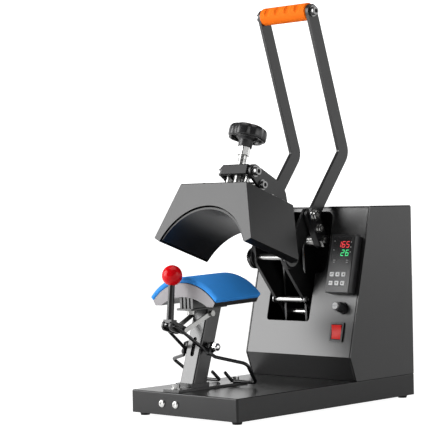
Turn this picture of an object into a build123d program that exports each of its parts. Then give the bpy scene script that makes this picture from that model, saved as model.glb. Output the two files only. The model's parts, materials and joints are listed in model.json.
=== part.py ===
"""Cap heat press: a curved heated head closed by a toggle lever over a padded platen.

Millimetres, +Z up, front towards -Y.  The origin is on the floor under the middle of the base.
The press is modelled open, with its handle up.
"""
from build123d import *
from math import atan2, cos, degrees, hypot, radians, sin
import os

os.makedirs("parts", exist_ok=True)

# ---------------------------------------------------------------- sheet, fasteners and fits
sheet = 2.0                 # pressed steel casing
plate = 4.0                 # frame plate
running_gap = 0.06          # radial, a shaft in its bearing
bolt_gap = 0.1              # radial, a bolt in its hole
face_gap = 0.4              # between faces that slide past each other
washer_thick = 1.6

# ---------------------------------------------------------------- base
base_width = 225.0
base_length = 438.0
foot_height = 5.0
tray_height = 35.0
tray_corner = 3.5
tray_lip = 28.0
foot_top_radius = 8.5
foot_low_radius = 7.0
foot_inset = 15.0
case_screw_radius = 6.0
case_screw_pitch = 29.0
deck = foot_height + tray_height

# ---------------------------------------------------------------- housing
housing_top = 321.0         # height of the housing's roof
housing_rear = base_length / 2
panel_foot_y = 63.7         # front panel where it meets the deck
panel_nose = (48.9, 79.1)   # its furthest point forward, as (y, z)
panel_top_y = 107.4         # where it meets the roof
seam = 1.0                  # open line between the panel and the side walls
housing_edge = 3.0
slot_half_low = 45.5        # T-shaped opening for the linkage
slot_half_high = 67.0
slot_start = 56.0           # its bottom, measured up the panel from the nose
slot_step = 137.4           # where it widens
slot_top_margin = 9.0
slot_low_corner = 5.0
slot_high_corner = 13.0

# ---------------------------------------------------------------- linkage, as (y, z) with the press open
mech_x = -30.0              # the linkage and the platen stand left of the middle
arm_pivot = (129.0, 106.0)
crank_pivot = (92.0, 264.0)
crank_pin_place = (70.0, 307.0)
link_shaft_place = (27.1, 239.5)
spacer_place = (72.0, 168.0)
head_swing = 20.8           # degrees the head comes down
link_length = 82.5
link_direction = 239.5      # degrees from +Y, from the crank pin to the link shaft
link_eye_radius = 9.5       # the open pivot: its eye is larger than its shaft
pivot_shaft_radius = 6.0
crank_shaft_radius = 6.0
crank_pin_radius = 5.0
link_shaft_radius = 5.0
spacer_radius = 4.5

# plates across the press, as distances from the linkage's centre line
upright_inner = 20.0
arm_inner = 27.0
arm_thick = 6.0
link_inner = 36.0
link_thick = 5.0
crank_inner = 43.3
crank_thick = 6.0
bar_thick = 6.0
bar_width = 24.0
bar_inner = crank_inner + crank_thick
bar_outer = bar_inner + bar_thick

# uprights
upright_front = 88.0
upright_length = 82.0
upright_top_radius = 13.0
upright_base_height = 22.0
upright_flange = 20.0
tie_radius = 5.0
tie_places = [(100.0, 146.0), (146.0, 64.0)]

# handle
handle_bend = (151.5, 411.0)
handle_end = (75.0, 642.0)
handle_bend_radius = 16.0
grip_radius = 14.5
grip_fingers = 4
finger_pitch = 21.5
finger_radius = 15.0
finger_depth = 3.4
grip_bolt_radius = 4.0

# ---------------------------------------------------------------- head
head_depth = 117.5
head_height = 91.8
head_half_top = 70.6
head_half_low = 104.8
lobe_drop = 6.3             # the cover's lowest line below its outer bottom corners
lobe_width = 13.8
cover_arch_radius = 101.0
cover_arch_drop = 47.5      # its centre below the bottom corners
shoe_radius = 100.0
shoe_drop = 52.0
shoe_thick = 12.0
shoe_half_angle = 61.0
shoe_setback = 2.6          # behind the cover's front plate
blanket_thick = 8.0
blanket_half_angle = 44.0
blanket_gap = 0.3
stud_x = 45.0
stud_inset = 26.0
stud_radius = 3.0
stud_sink = 4.0
screw_depth = 54.0          # the pressure screw, behind the cover's front
bar_height_n = 128.0        # the front bar's middle, above the cover's bottom corners
bar_block_depth = 28.0
bar_block_height = 17.0
guide_x = 20.0
guide_radius = 4.0
guide_flange_radius = 8.0
guide_top = 133.0
spindle_radius = 7.0
collar_radius = 14.0
collar_height = 10.5
lock_nut_flats = 19.0
lock_nut_base = 156.0
lock_nut_height = 13.0
head_rod_place = (77.0, 113.0)  # depth and height of the arms' front cross rod
head_rod_radius = 5.0

# star knob
knob_lobes = 7
knob_core_radius = 23.0
knob_lobe_radius = 8.0
knob_base = 183.0
knob_rim_height = 19.0
knob_crown_radius = 15.0
knob_crown_height = 6.0
knob_hub_radius = 11.0
knob_hub_base = lock_nut_base + lock_nut_height
knob_hollow_radius = 20.0
knob_hollow_depth = 12.0
knob_rib = 3.0

# ---------------------------------------------------------------- platen and its post
pad_middle = (-131.0, 118.0)    # (y, z) of the pad's arc centre, half way along
platen_rise = 2.1               # degrees, rear end up
platen_length = 100.0
pad_outer_radius = 99.2
platen_radius = 90.0
pad_half_angle = 48.0
pad_gap = 0.1
platen_inner_radius = 94.2
platen_inner_drop = 26.1
platen_foot_height = 54.0       # flat feet, above the arc centre
platen_foot_edge = 62.0
platen_side = (66.4, 60.8)
head_setback = 8.0              # closed head's middle behind the pad's middle
mount_top = 50.0
mount_thick = 3.0
mount_half_width = 18.0
mount_front = -49.0
mount_length = 80.0
clamp_half_width = 14.0
platen_bolt_s = -34.0
post_foot = (-166.5, 44.0)
post_head = (-130.0, 160.0)
post_size = 30.0
post_wall = 3.0
post_slot_width = 7.6
post_slot_low = 91.5
post_slot_high = 121.0
foot_bar_front = -214.0
foot_bar_rear = -58.0
foot_bar_half_width = 18.0
foot_bar_bolt_inset = 11.0
post_collar = 2.5
post_collar_height = 7.0

# tension lever and wire bail
axle_place = (-146.4, 106.0)
axle_radius = 4.0
axle_half = 31.0
lever_pivot = (-192.0, 134.0)
lever_pin_radius = 3.0
wire_end = (-212.7, 141.0)
wire_radius = 2.35
wire_gap = 0.6
wire_slot = 4.5             # the lever's slots leave the bail's wire ends this play
slot_lean = -31.0           # degrees from +Y, the slots' run
strut_top = (-140.0, 157.5)
strut_top_x = 15.8
strut_bolt_radius = 3.0
strut_bolt_half = 19.0
strut_low_x = 11.0
strut_thick = 2.0
strut_width = 11.0
cheek_inner = 6.0
cheek_outer = 9.5
cheek_radius = 6.5
rod_base = (-213.6, 146.4)
rod_radius = 5.75
rod_taper = 0.8
ball_place = (-207.0, 219.0)
ball_radius = 16.0
bush_inner = 20.0
bush_outer = 29.0
bush_radius = 7.5

# ---------------------------------------------------------------- controls on the front panel, (x, up the panel)
controller_edge = 32.5      # from the panel's right edge to the controller's middle
controller_place = (base_width / 2 - controller_edge, 149.5)
controller_width = 48.0
controller_height = 96.0
controller_proud = 18.0
controller_case_depth = 55.0
controller_cutout = (44.0, 91.0)
display_size = (38.0, 40.0)
display_up = 24.0
key_size = (8.0, 7.0)
key_pitch = (12.0, 14.4)
key_low = -32.4
key_left = -13.5
key_proud = 1.0
key_gap = 0.25
fuse_edge = 30.5
fuse_place = (base_width / 2 - fuse_edge, 80.0)
fuse_flange_radius = 10.0
fuse_body_radius = 8.5
fuse_body_length = 15.0
fuse_cap_radius = 6.0
fuse_cap_length = 4.0
switch_edge = 34.5
switch_place = (base_width / 2 - switch_edge, 40.0)
switch_size = (27.0, 32.0)
switch_proud = 2.5
rocker_size = (20.0, 25.0)
rocker_tilt = 7.0
inlet_edge = 52.5
inlet_place = (base_width / 2 - inlet_edge, 82.0)    # (x, z) on the rear wall
inlet_size = (50.0, 27.0)

mech_plane = Plane(origin=(mech_x, 0, 0), z_dir=(1, 0, 0))


# ---------------------------------------------------------------- places and planes
def swung(point, centre, angle):
    """A (y, z) point turned about a pivot; a positive angle closes the press."""
    y = point[0] - centre[0]
    z = point[1] - centre[1]
    turn = radians(angle)
    return (centre[0] + y * cos(turn) - z * sin(turn), centre[1] + y * sin(turn) + z * cos(turn))


def platen_at(along, up):
    """(y, z) of a point behind the pad's middle and above its arc centre."""
    return swung((pad_middle[0] + along, pad_middle[1] + up), pad_middle, platen_rise)


def head_at(depth, up):
    """(y, z) of a point behind the head's front and above its bottom corners, press open."""
    closed = platen_at(head_setback + depth - head_depth / 2, up + shoe_drop)
    return swung(closed, arm_pivot, -head_swing)


def between(start, end, share):
    """The (y, z) point at a share of the way from one point to another."""
    return (start[0] + share * (end[0] - start[0]), start[1] + share * (end[1] - start[1]))


def beyond(point, distance, angle):
    """The (y, z) point at a distance and an angle from another."""
    return (point[0] + distance * cos(radians(angle)), point[1] + distance * sin(radians(angle)))


def side_plane(x):
    """Local axes are Y and Z, at a distance right of the linkage's centre line."""
    return Plane(origin=(mech_x + x, 0, 0), x_dir=(0, 1, 0), z_dir=(1, 0, 0))


def front_plane(place, tilt):
    """Faces the front at a (y, z) place, leaning back by a tilt; local axes are X and up."""
    normal = (0, -cos(radians(tilt)), sin(radians(tilt)))
    return Plane(origin=(mech_x, place[0], place[1]), x_dir=(1, 0, 0), z_dir=normal)


head_tilt = head_swing - platen_rise


def head_front(depth):
    return front_plane(head_at(depth, 0), head_tilt)


def head_top(up):
    """Square to the pressure screw; local axes are X and depth behind the head's front."""
    place = head_at(0, up)
    normal = (0, sin(radians(head_tilt)), cos(radians(head_tilt)))
    return Plane(origin=(mech_x, place[0], place[1]), x_dir=(1, 0, 0), z_dir=normal)


def platen_front(along):
    return front_plane(platen_at(along, 0), -platen_rise)


def platen_top(up):
    """Parallel to the mount plate; local axes are X and distance behind the pad's middle."""
    place = platen_at(0, up)
    normal = (0, -sin(radians(platen_rise)), cos(radians(platen_rise)))
    return Plane(origin=(mech_x, place[0], place[1]), x_dir=(1, 0, 0), z_dir=normal)


panel_rise = hypot(panel_top_y - panel_nose[0], housing_top - panel_nose[1])
panel_lean = degrees(atan2(panel_top_y - panel_nose[0], housing_top - panel_nose[1]))
panel_face = Plane(
    origin=(0, panel_nose[0], panel_nose[1]),
    x_dir=(1, 0, 0),
    z_dir=(0, -cos(radians(panel_lean)), sin(radians(panel_lean))),
)


# ---------------------------------------------------------------- repeated forms
def save(part, name):
    part.label = name
    export_step(part, f"parts/{name}.step")


def socket_screw(seat, shank_radius, reach, head_radius, head_height):
    """A cap screw on a washer; the seat's z axis points out of its head."""
    with BuildPart() as screw:
        with BuildSketch(seat):
            Circle(head_radius * 1.3)
        extrude(amount=washer_thick)
        with BuildSketch(seat.offset(washer_thick)):
            Circle(head_radius)
        extrude(amount=head_height)
        rim = screw.faces().sort_by(Axis(seat.origin, seat.z_dir))[-1]
        chamfer(rim.edges(), length=head_radius * 0.12)
        with BuildSketch(seat.offset(washer_thick + head_height)):
            RegularPolygon(radius=head_radius * 0.55, side_count=6)
        extrude(amount=-head_height * 0.6, mode=Mode.SUBTRACT)
        with BuildSketch(seat):
            Circle(shank_radius)
        extrude(amount=-reach)
    return screw.part


def pan_screw(seat, head_radius, reach):
    """A cross-head screw with a domed pan head."""
    with BuildPart() as screw:
        with BuildSketch(seat):
            Circle(head_radius)
        extrude(amount=head_radius * 0.5)
        rim = screw.faces().sort_by(Axis(seat.origin, seat.z_dir))[-1]
        fillet(rim.edges(), radius=head_radius * 0.4)
        with BuildSketch(seat.offset(head_radius * 0.5)):
            Rectangle(head_radius * 0.9, head_radius * 0.22)
            Rectangle(head_radius * 0.22, head_radius * 0.9)
        extrude(amount=-head_radius * 0.3, mode=Mode.SUBTRACT)
        with BuildSketch(seat):
            Circle(head_radius * 0.5)
        extrude(amount=-reach)
    return screw.part


def hex_nut(seat, flats, height, bore):
    """A nut with its lower face on the seat."""
    with BuildPart() as nut:
        with BuildSketch(seat):
            RegularPolygon(radius=flats / 2, side_count=6, major_radius=False)
            Circle(bore, mode=Mode.SUBTRACT)
        extrude(amount=height)
        with BuildSketch(seat):
            Circle(flats * 0.55)
        extrude(amount=height, mode=Mode.INTERSECT)
    return nut.part


def arc_band(inner, outer, half_angle, drop):
    """A band between two arcs about a centre below the origin."""
    with BuildSketch() as band:
        with BuildLine():
            low = CenterArc((0, -drop), inner, 90 - half_angle, 2 * half_angle)
            high = CenterArc((0, -drop), outer, 90 - half_angle, 2 * half_angle)
            Line(low @ 0, high @ 0)
            Line(low @ 1, high @ 1)
        make_face()
    return band.sketch


# ---------------------------------------------------------------- base
foot_grid = (base_width - 2 * foot_inset, base_length - 2 * foot_inset)
bar_bolt_ys = [foot_bar_front + foot_bar_bolt_inset, foot_bar_rear - foot_bar_bolt_inset]
flange_middle = upright_inner + plate + upright_flange / 2
upright_bolt_ys = [upright_front + 14, upright_front + upright_length - 14]
frame_bolt_radius = 4.0
deck_bolts = [(mech_x, y) for y in bar_bolt_ys]
for y in upright_bolt_ys:
    deck_bolts += [(mech_x - flange_middle, y), (mech_x + flange_middle, y)]
case_screw_xs = [mech_x - case_screw_pitch / 2, mech_x + case_screw_pitch / 2]
case_screw_z = foot_height + tray_height / 2
foot_screw_radius = 4.0

with BuildPart() as base_tray:
    with BuildSketch(Plane.XY.offset(foot_height)):
        RectangleRounded(base_width, base_length, tray_corner)
    extrude(amount=tray_height)
    fillet(base_tray.edges().group_by(Axis.Z)[-1], radius=sheet)
    with BuildSketch(Plane.XY.offset(foot_height)):
        RectangleRounded(base_width - 2 * sheet, base_length - 2 * sheet, tray_corner - sheet)
    extrude(amount=tray_height - sheet, mode=Mode.SUBTRACT)
    with BuildSketch(Plane.XY.offset(foot_height)):
        RectangleRounded(base_width - sheet, base_length - sheet, tray_corner - sheet / 2)
        Rectangle(base_width - 2 * tray_lip, base_length - 2 * tray_lip, mode=Mode.SUBTRACT)
        with GridLocations(foot_grid[0], foot_grid[1], 2, 2):
            Circle(foot_screw_radius / 2 + bolt_gap, mode=Mode.SUBTRACT)
    extrude(amount=sheet)
    with BuildSketch(Plane.XY.offset(deck)):
        with Locations(*deck_bolts):
            Circle(frame_bolt_radius + bolt_gap)
    extrude(amount=-sheet, mode=Mode.SUBTRACT)
    with BuildSketch(Plane.XZ.offset(base_length / 2)):
        with Locations(*[(x, case_screw_z) for x in case_screw_xs]):
            Circle(case_screw_radius / 2 + bolt_gap)
    extrude(amount=-sheet, mode=Mode.SUBTRACT)
save(base_tray.part, "base_tray")

foot_recess = 2.5
with BuildPart() as rubber_feet:
    with GridLocations(foot_grid[0], foot_grid[1], 2, 2):
        Cone(foot_low_radius, foot_top_radius, foot_height, align=(Align.CENTER, Align.CENTER, Align.MIN))
        Cylinder(
            foot_screw_radius + bolt_gap,
            foot_recess,
            align=(Align.CENTER, Align.CENTER, Align.MIN),
            mode=Mode.SUBTRACT,
        )
        Cylinder(foot_screw_radius / 2 + bolt_gap, 3 * foot_height, mode=Mode.SUBTRACT)
save(rubber_feet.part, "rubber_feet")

rear_screw_zs = [deck + 18, housing_top - 18]
with BuildPart() as case_screws:
    for x in case_screw_xs:
        front_seat = Plane(origin=(x, -base_length / 2, case_screw_z), z_dir=(0, -1, 0))
        add(pan_screw(front_seat, case_screw_radius, 3 * sheet))
    for z in rear_screw_zs:
        for x in (-base_width / 2 + 14, base_width / 2 - 14):
            rear_seat = Plane(origin=(x, housing_rear, z), z_dir=(0, 1, 0))
            add(pan_screw(rear_seat, case_screw_radius / 2, 3 * sheet))
    for x in (-foot_grid[0] / 2, foot_grid[0] / 2):
        for y in (-foot_grid[1] / 2, foot_grid[1] / 2):
            foot_seat = Plane(origin=(x, y, foot_recess), z_dir=(0, 0, -1))
            add(pan_screw(foot_seat, foot_screw_radius, foot_height + sheet))
save(case_screws.part, "case_screws")

# ---------------------------------------------------------------- post and its foot
post_lean = degrees(atan2(post_head[0] - post_foot[0], post_head[1] - post_foot[1]))
post_axis = Plane(
    origin=(mech_x, post_foot[0], post_foot[1]),
    x_dir=(1, 0, 0),
    z_dir=(0, sin(radians(post_lean)), cos(radians(post_lean))),
)
foot_bar_length = foot_bar_rear - foot_bar_front
foot_bar_middle = (foot_bar_rear + foot_bar_front) / 2

with BuildPart() as foot_bar:
    with BuildSketch(Plane.XY.offset(deck)):
        with Locations((mech_x, foot_bar_middle)):
            RectangleRounded(2 * foot_bar_half_width, foot_bar_length, 2)
    extrude(amount=plate)
    with BuildSketch(Plane.XY.offset(deck + plate)):
        with Locations((mech_x, post_foot[0])):
            Rectangle(post_size + 2 * post_collar, post_size / cos(radians(post_lean)) + 3 * post_collar)
    extrude(amount=post_collar_height)
    with BuildSketch(post_axis.offset(-post_size)):
        Rectangle(post_size + bolt_gap, post_size + bolt_gap)
    extrude(amount=3 * post_size, mode=Mode.SUBTRACT)
    with BuildSketch(Plane.XY.offset(deck)):
        with Locations((mech_x, foot_bar_middle)):
            RectangleRounded(2 * foot_bar_half_width, foot_bar_length, 2)
    extrude(amount=plate)
    with BuildSketch(Plane.XY.offset(deck)):
        with Locations(*[(mech_x, y) for y in bar_bolt_ys]):
            Circle(frame_bolt_radius + bolt_gap)
    extrude(amount=plate, mode=Mode.SUBTRACT)
save(foot_bar.part, "foot_bar")

with BuildPart() as frame_bolts:
    for x, y in deck_bolts:
        bolt_seat = Plane(origin=(x, y, deck + plate), z_dir=(0, 0, 1))
        add(socket_screw(bolt_seat, frame_bolt_radius, plate + 4 * sheet, 6.5, 6))
save(frame_bolts.part, "frame_bolts")

post_reach = hypot(post_head[0] - post_foot[0], post_head[1] - post_foot[1])
with BuildPart() as post:
    with BuildSketch(post_axis.offset(-post_size)):
        RectangleRounded(post_size, post_size, post_wall)
        RectangleRounded(post_size - 2 * post_wall, post_size - 2 * post_wall, post_wall / 3, mode=Mode.SUBTRACT)
    extrude(amount=post_reach + 2 * post_size)
    split(bisect_by=Plane.XY.offset(deck + plate), keep=Keep.TOP)
    split(bisect_by=platen_top(mount_top - mount_thick), keep=Keep.BOTTOM)
    with BuildSketch(Plane.XZ):
        with Locations((mech_x, (post_slot_low + post_slot_high) / 2)):
            SlotOverall(post_slot_high - post_slot_low, post_slot_width, rotation=90)
    extrude(amount=-(axle_place[0] - post_size / 4), mode=Mode.SUBTRACT)
    with BuildSketch(side_plane(-post_size)):
        with Locations(axle_place):
            Circle(axle_radius + bolt_gap)
        with Locations(strut_top):
            Circle(strut_bolt_radius + bolt_gap)
    extrude(amount=2 * post_size, mode=Mode.SUBTRACT)
save(post.part, "post")

with BuildPart() as mount_plate:
    with BuildSketch(platen_top(mount_top - mount_thick)):
        with Locations((0, mount_front + mount_length / 2)):
            RectangleRounded(2 * mount_half_width, mount_length, 3)
        with Locations((0, platen_bolt_s)):
            Circle(frame_bolt_radius + bolt_gap, mode=Mode.SUBTRACT)
    extrude(amount=mount_thick)
save(mount_plate.part, "mount_plate")

with BuildPart() as clamp_block:
    with BuildSketch(platen_front(-platen_length / 2)):
        with Locations((0, mount_top)):
            Rectangle(2 * clamp_half_width, platen_radius - mount_top, align=(Align.CENTER, Align.MIN))
        with Locations((0, -platen_inner_drop)):
            Circle(platen_inner_radius, mode=Mode.INTERSECT)
    extrude(amount=-platen_length)
    with BuildSketch(platen_top(mount_top)):
        with Locations((0, platen_bolt_s)):
            Circle(frame_bolt_radius + bolt_gap)
    extrude(amount=platen_inner_radius / 8, mode=Mode.SUBTRACT)
save(clamp_block.part, "clamp_block")

platen_foot_inner = (platen_inner_radius**2 - (platen_foot_height + platen_inner_drop) ** 2) ** 0.5
with BuildPart() as platen_body:
    with BuildSketch(platen_front(-platen_length / 2)):
        with BuildLine():
            right = (platen_side[0], platen_side[1])
            left = (-platen_side[0], platen_side[1])
            ThreePointArc(right, (0, platen_radius), left)
            Polyline(left, (-platen_foot_edge, platen_foot_height), (-platen_foot_inner, platen_foot_height))
            ThreePointArc(
                (-platen_foot_inner, platen_foot_height),
                (0, platen_inner_radius - platen_inner_drop),
                (platen_foot_inner, platen_foot_height),
            )
            Polyline((platen_foot_inner, platen_foot_height), (platen_foot_edge, platen_foot_height), right)
        make_face()
    extrude(amount=-platen_length)
save(platen_body.part, "platen_body")

with BuildPart() as foam_pad:
    with BuildSketch(platen_front(-platen_length / 2)):
        add(arc_band(platen_radius + pad_gap, pad_outer_radius, pad_half_angle, 0))
    extrude(amount=-platen_length)
save(foam_pad.part, "foam_pad")

# ---------------------------------------------------------------- struts, tension lever and bail
strut_drop = (lever_pivot[0] - strut_top[0], lever_pivot[1] - strut_top[1])
strut_run = hypot(strut_drop[0], strut_drop[1])
strut_lean = (strut_low_x - strut_top_x, strut_drop[0], strut_drop[1])
strut_plane = Plane(
    origin=(mech_x + strut_top_x, strut_top[0], strut_top[1]),
    x_dir=strut_lean,
    z_dir=Vector(0, -strut_drop[1], strut_drop[0]).cross(Vector(*strut_lean)),
)
with BuildPart() as struts:
    with BuildSketch(strut_plane):
        with Locations((strut_run / 2, 0)):
            SlotCenterToCenter(strut_run, strut_width)
        with Locations((0, 0), (strut_run, 0)):
            Circle(lever_pin_radius + 3 * bolt_gap, mode=Mode.SUBTRACT)
    extrude(amount=strut_thick if strut_plane.z_dir.X > 0 else -strut_thick)
    mirror(about=mech_plane)
save(struts.part, "struts")

with BuildPart() as platen_fasteners:
    bolt_seat = platen_top(mount_top - mount_thick)
    down_seat = Plane(
        origin=bolt_seat.from_local_coords((0, platen_bolt_s, 0)),
        x_dir=(1, 0, 0),
        z_dir=-bolt_seat.z_dir,
    )
    add(socket_screw(down_seat, frame_bolt_radius, 4 * mount_thick, 6.5, 6))
    with BuildSketch(side_plane(-strut_low_x - strut_thick)):
        with Locations(lever_pivot):
            Circle(lever_pin_radius)
    extrude(amount=2 * (strut_low_x + strut_thick))
    with BuildSketch(side_plane(0)):
        with Locations(strut_top):
            Circle(strut_bolt_radius)
    extrude(amount=strut_bolt_half + 3, both=True)
    for side in (-1, 1):
        with BuildSketch(side_plane(side * strut_bolt_half)):
            with Locations(strut_top):
                RegularPolygon(radius=5, side_count=6)
        extrude(amount=side * 3)
save(platen_fasteners.part, "platen_fasteners")

with BuildPart() as pivot_axle:
    with BuildSketch(side_plane(-axle_half - 3)):
        with Locations(axle_place):
            Circle(axle_radius)
    extrude(amount=2 * axle_half + 6)
    with BuildSketch(side_plane(-axle_half)):
        with Locations(axle_place):
            Ellipse(9, 6.5)
    extrude(amount=washer_thick)
    with BuildSketch(side_plane(axle_half)):
        with Locations(axle_place):
            RegularPolygon(radius=7.5, side_count=6)
    extrude(amount=5)
    with Locations(side_plane(axle_half + 5).location * Location((axle_place[0], axle_place[1], 0))):
        Sphere(6.6, arc_size1=0)
save(pivot_axle.part, "pivot_axle")

wire_route = [
    (mech_x + 5, wire_end[0], wire_end[1]),
    (mech_x + 13.4, wire_end[0], wire_end[1]),
    (mech_x + 20.5, -162.0, 104.0),
    (mech_x + 34.0, -150.0, 91.0),
    (mech_x + 80.0, -128.0, 81.0),
    (mech_x + 64.0, -90.0, 47.2),
    (mech_x + 13.0, -90.0, 47.2),
    (mech_x + 14.0, -107.0, 62.0),
]
web_low = (-156.0, 97.5)
with BuildPart() as bail_wires:
    with BuildLine() as wire_line:
        FilletPolyline(*wire_route, radius=[3, 8, 8, 9, 9, 5])
    with BuildSketch(Plane(origin=wire_route[0], z_dir=(1, 0, 0))):
        Circle(wire_radius)
    sweep()
    with BuildSketch(side_plane(bush_inner)):
        with Locations(axle_place):
            Circle(bush_radius)
    extrude(amount=bush_outer - bush_inner)
    with BuildSketch(side_plane(bush_outer - 5)):
        with Locations(axle_place):
            Circle(bush_radius - 1)
        with Locations(web_low):
            Circle(wire_radius + 1.5)
        make_hull()
    extrude(amount=5)
    with BuildSketch(side_plane(bush_inner)):
        with Locations(axle_place):
            Circle(axle_radius + running_gap)
    extrude(amount=bush_outer - bush_inner, mode=Mode.SUBTRACT)
    mirror(about=mech_plane)
save(bail_wires.part, "bail_wires")

rod_rise = hypot(ball_place[0] - rod_base[0], ball_place[1] - rod_base[1])
rod_axis = Plane(
    origin=(mech_x, rod_base[0], rod_base[1]),
    x_dir=(1, 0, 0),
    z_dir=(0, ball_place[0] - rod_base[0], ball_place[1] - rod_base[1]),
)
rod_length = rod_rise - ball_radius / 2
with BuildPart() as tension_lever:
    with BuildSketch(side_plane(cheek_inner)):
        with Locations(lever_pivot):
            Circle(cheek_radius)
        with Locations((wire_end[0] - wire_slot / 2, wire_end[1] + 1)):
            Circle(cheek_radius + 1.5)
        make_hull()
        with Locations(lever_pivot):
            Circle(lever_pin_radius + running_gap, mode=Mode.SUBTRACT)
        with Locations(beyond(wire_end, -wire_slot / 2, slot_lean)):
            SlotCenterToCenter(
                wire_slot, 2 * (wire_radius + wire_gap), rotation=slot_lean, mode=Mode.SUBTRACT
            )
    extrude(amount=cheek_outer - cheek_inner)
    mirror(about=mech_plane)
    with BuildSketch(rod_axis):
        RectangleRounded(2 * cheek_outer, 2 * rod_radius, 1)
    extrude(amount=5)
    with BuildSketch(rod_axis):
        Circle(rod_radius)
    extrude(amount=rod_length, taper=rod_taper)
save(tension_lever.part, "tension_lever")

ball_socket = rod_radius - (rod_rise - ball_radius) * sin(radians(rod_taper))
with BuildPart() as ball_knob:
    with Locations((mech_x, ball_place[0], ball_place[1])):
        Sphere(ball_radius)
    with BuildSketch(rod_axis.offset(rod_rise - 1.5 * ball_radius)):
        Circle(ball_socket + bolt_gap)
    extrude(amount=ball_radius + bolt_gap, mode=Mode.SUBTRACT)
save(ball_knob.part, "ball_knob")

# ---------------------------------------------------------------- housing
housing_outline = [
    (panel_foot_y, deck),
    panel_nose,
    (panel_top_y, housing_top),
    (housing_rear, housing_top),
    (housing_rear, deck),
]
inlet_hole = (inlet_size[0] - 18, inlet_size[1] - 4)
with BuildPart() as housing_shell:
    with BuildSketch(Plane(origin=(-base_width / 2, 0, 0), x_dir=(0, 1, 0), z_dir=(1, 0, 0))):
        with BuildLine():
            Polyline(*housing_outline, close=True)
        make_face()
    extrude(amount=base_width)
    roof_edges = housing_shell.faces().sort_by(Axis.Z)[-1].edges().sort_by(Axis.Y)[1:]
    rear_edges = housing_shell.faces().sort_by(Axis.Y)[-1].edges().filter_by(Axis.Z)
    fillet(roof_edges + rear_edges, radius=housing_edge)
    with BuildSketch(Plane(origin=(-base_width / 2 + sheet, 0, 0), x_dir=(0, 1, 0), z_dir=(1, 0, 0))):
        with BuildLine():
            Polyline(
                (0, deck),
                (0, housing_top - sheet),
                (housing_rear - sheet, housing_top - sheet),
                (housing_rear - sheet, deck),
                close=True,
            )
        make_face()
    extrude(amount=base_width - 2 * sheet, mode=Mode.SUBTRACT)
    with BuildSketch(Plane(origin=(0, housing_rear, 0), x_dir=(1, 0, 0), z_dir=(0, -1, 0))):
        with Locations(inlet_place):
            Rectangle(inlet_hole[0], inlet_hole[1])
        for z in rear_screw_zs:
            with Locations((-base_width / 2 + 14, z), (base_width / 2 - 14, z)):
                Circle(case_screw_radius / 4 + bolt_gap)
    extrude(amount=sheet, mode=Mode.SUBTRACT)
save(housing_shell.part, "housing_shell")

panel_half = base_width / 2 - sheet - seam
slot_end = panel_rise - slot_top_margin
with BuildPart() as front_panel:
    with BuildSketch(Plane(origin=(-panel_half, 0, 0), x_dir=(0, 1, 0), z_dir=(1, 0, 0))):
        with BuildLine():
            outer = Polyline((panel_foot_y, deck), panel_nose, (panel_top_y, housing_top - sheet - seam))
            offset(outer, amount=sheet, side=Side.RIGHT)
        make_face()
    extrude(amount=2 * panel_half)
    with BuildSketch(panel_face.offset(sheet)):
        with BuildLine():
            FilletPolyline(
                (mech_x - slot_half_low, slot_start),
                (mech_x + slot_half_low, slot_start),
                (mech_x + slot_half_low, slot_step),
                (mech_x + slot_half_high, slot_step),
                (mech_x + slot_half_high, slot_end),
                (mech_x - slot_half_high, slot_end),
                (mech_x - slot_half_high, slot_step),
                (mech_x - slot_half_low, slot_step),
                radius=[
                    slot_low_corner,
                    slot_low_corner,
                    slot_low_corner,
                    slot_high_corner,
                    slot_high_corner,
                    slot_high_corner,
                    slot_high_corner,
                    slot_low_corner,
                ],
                close=True,
            )
        make_face()
        with Locations(controller_place):
            Rectangle(controller_cutout[0], controller_cutout[1])
        with Locations(fuse_place):
            Circle(fuse_body_radius - 2 + bolt_gap)
        with Locations(switch_place):
            Rectangle(rocker_size[0] + 2, rocker_size[1] + 2)
    extrude(amount=-3 * sheet, mode=Mode.SUBTRACT)
save(front_panel.part, "front_panel")

inlet_face = Plane(origin=(inlet_place[0], housing_rear, inlet_place[1]), x_dir=(-1, 0, 0), z_dir=(0, 1, 0))
with BuildPart() as power_inlet:
    with BuildSketch(inlet_face):
        RectangleRounded(inlet_size[0], inlet_size[1], 4)
    extrude(amount=sheet)
    with BuildSketch(inlet_face):
        RectangleRounded(inlet_hole[0] - 1, inlet_hole[1] - 1, 2)
    extrude(amount=-25)
    with BuildSketch(inlet_face.offset(sheet)):
        RectangleRounded(inlet_hole[0] - 6, inlet_hole[1] - 6, 2)
    extrude(amount=-16, mode=Mode.SUBTRACT)
    with BuildSketch(inlet_face.offset(sheet - 16)):
        with Locations((-7, -2), (0, 2), (7, -2)):
            Rectangle(2, 4)
    extrude(amount=12)
    with BuildSketch(inlet_face.offset(sheet)):
        with Locations((-inlet_size[0] / 2 + 5, 0), (inlet_size[0] / 2 - 5, 0)):
            Circle(2)
    extrude(amount=-1, mode=Mode.SUBTRACT)
save(power_inlet.part, "power_inlet")

# ---------------------------------------------------------------- controller
key_columns = [key_left + key_pitch[0] * column for column in range(3)]
key_rows = [key_low + key_pitch[1], key_low]
key_places = [(controller_place[0] + x, controller_place[1] + y) for y in key_rows for x in key_columns]
display_place = (controller_place[0], controller_place[1] + display_up)
key_well = 3.0
window_thick = 1.5

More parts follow.
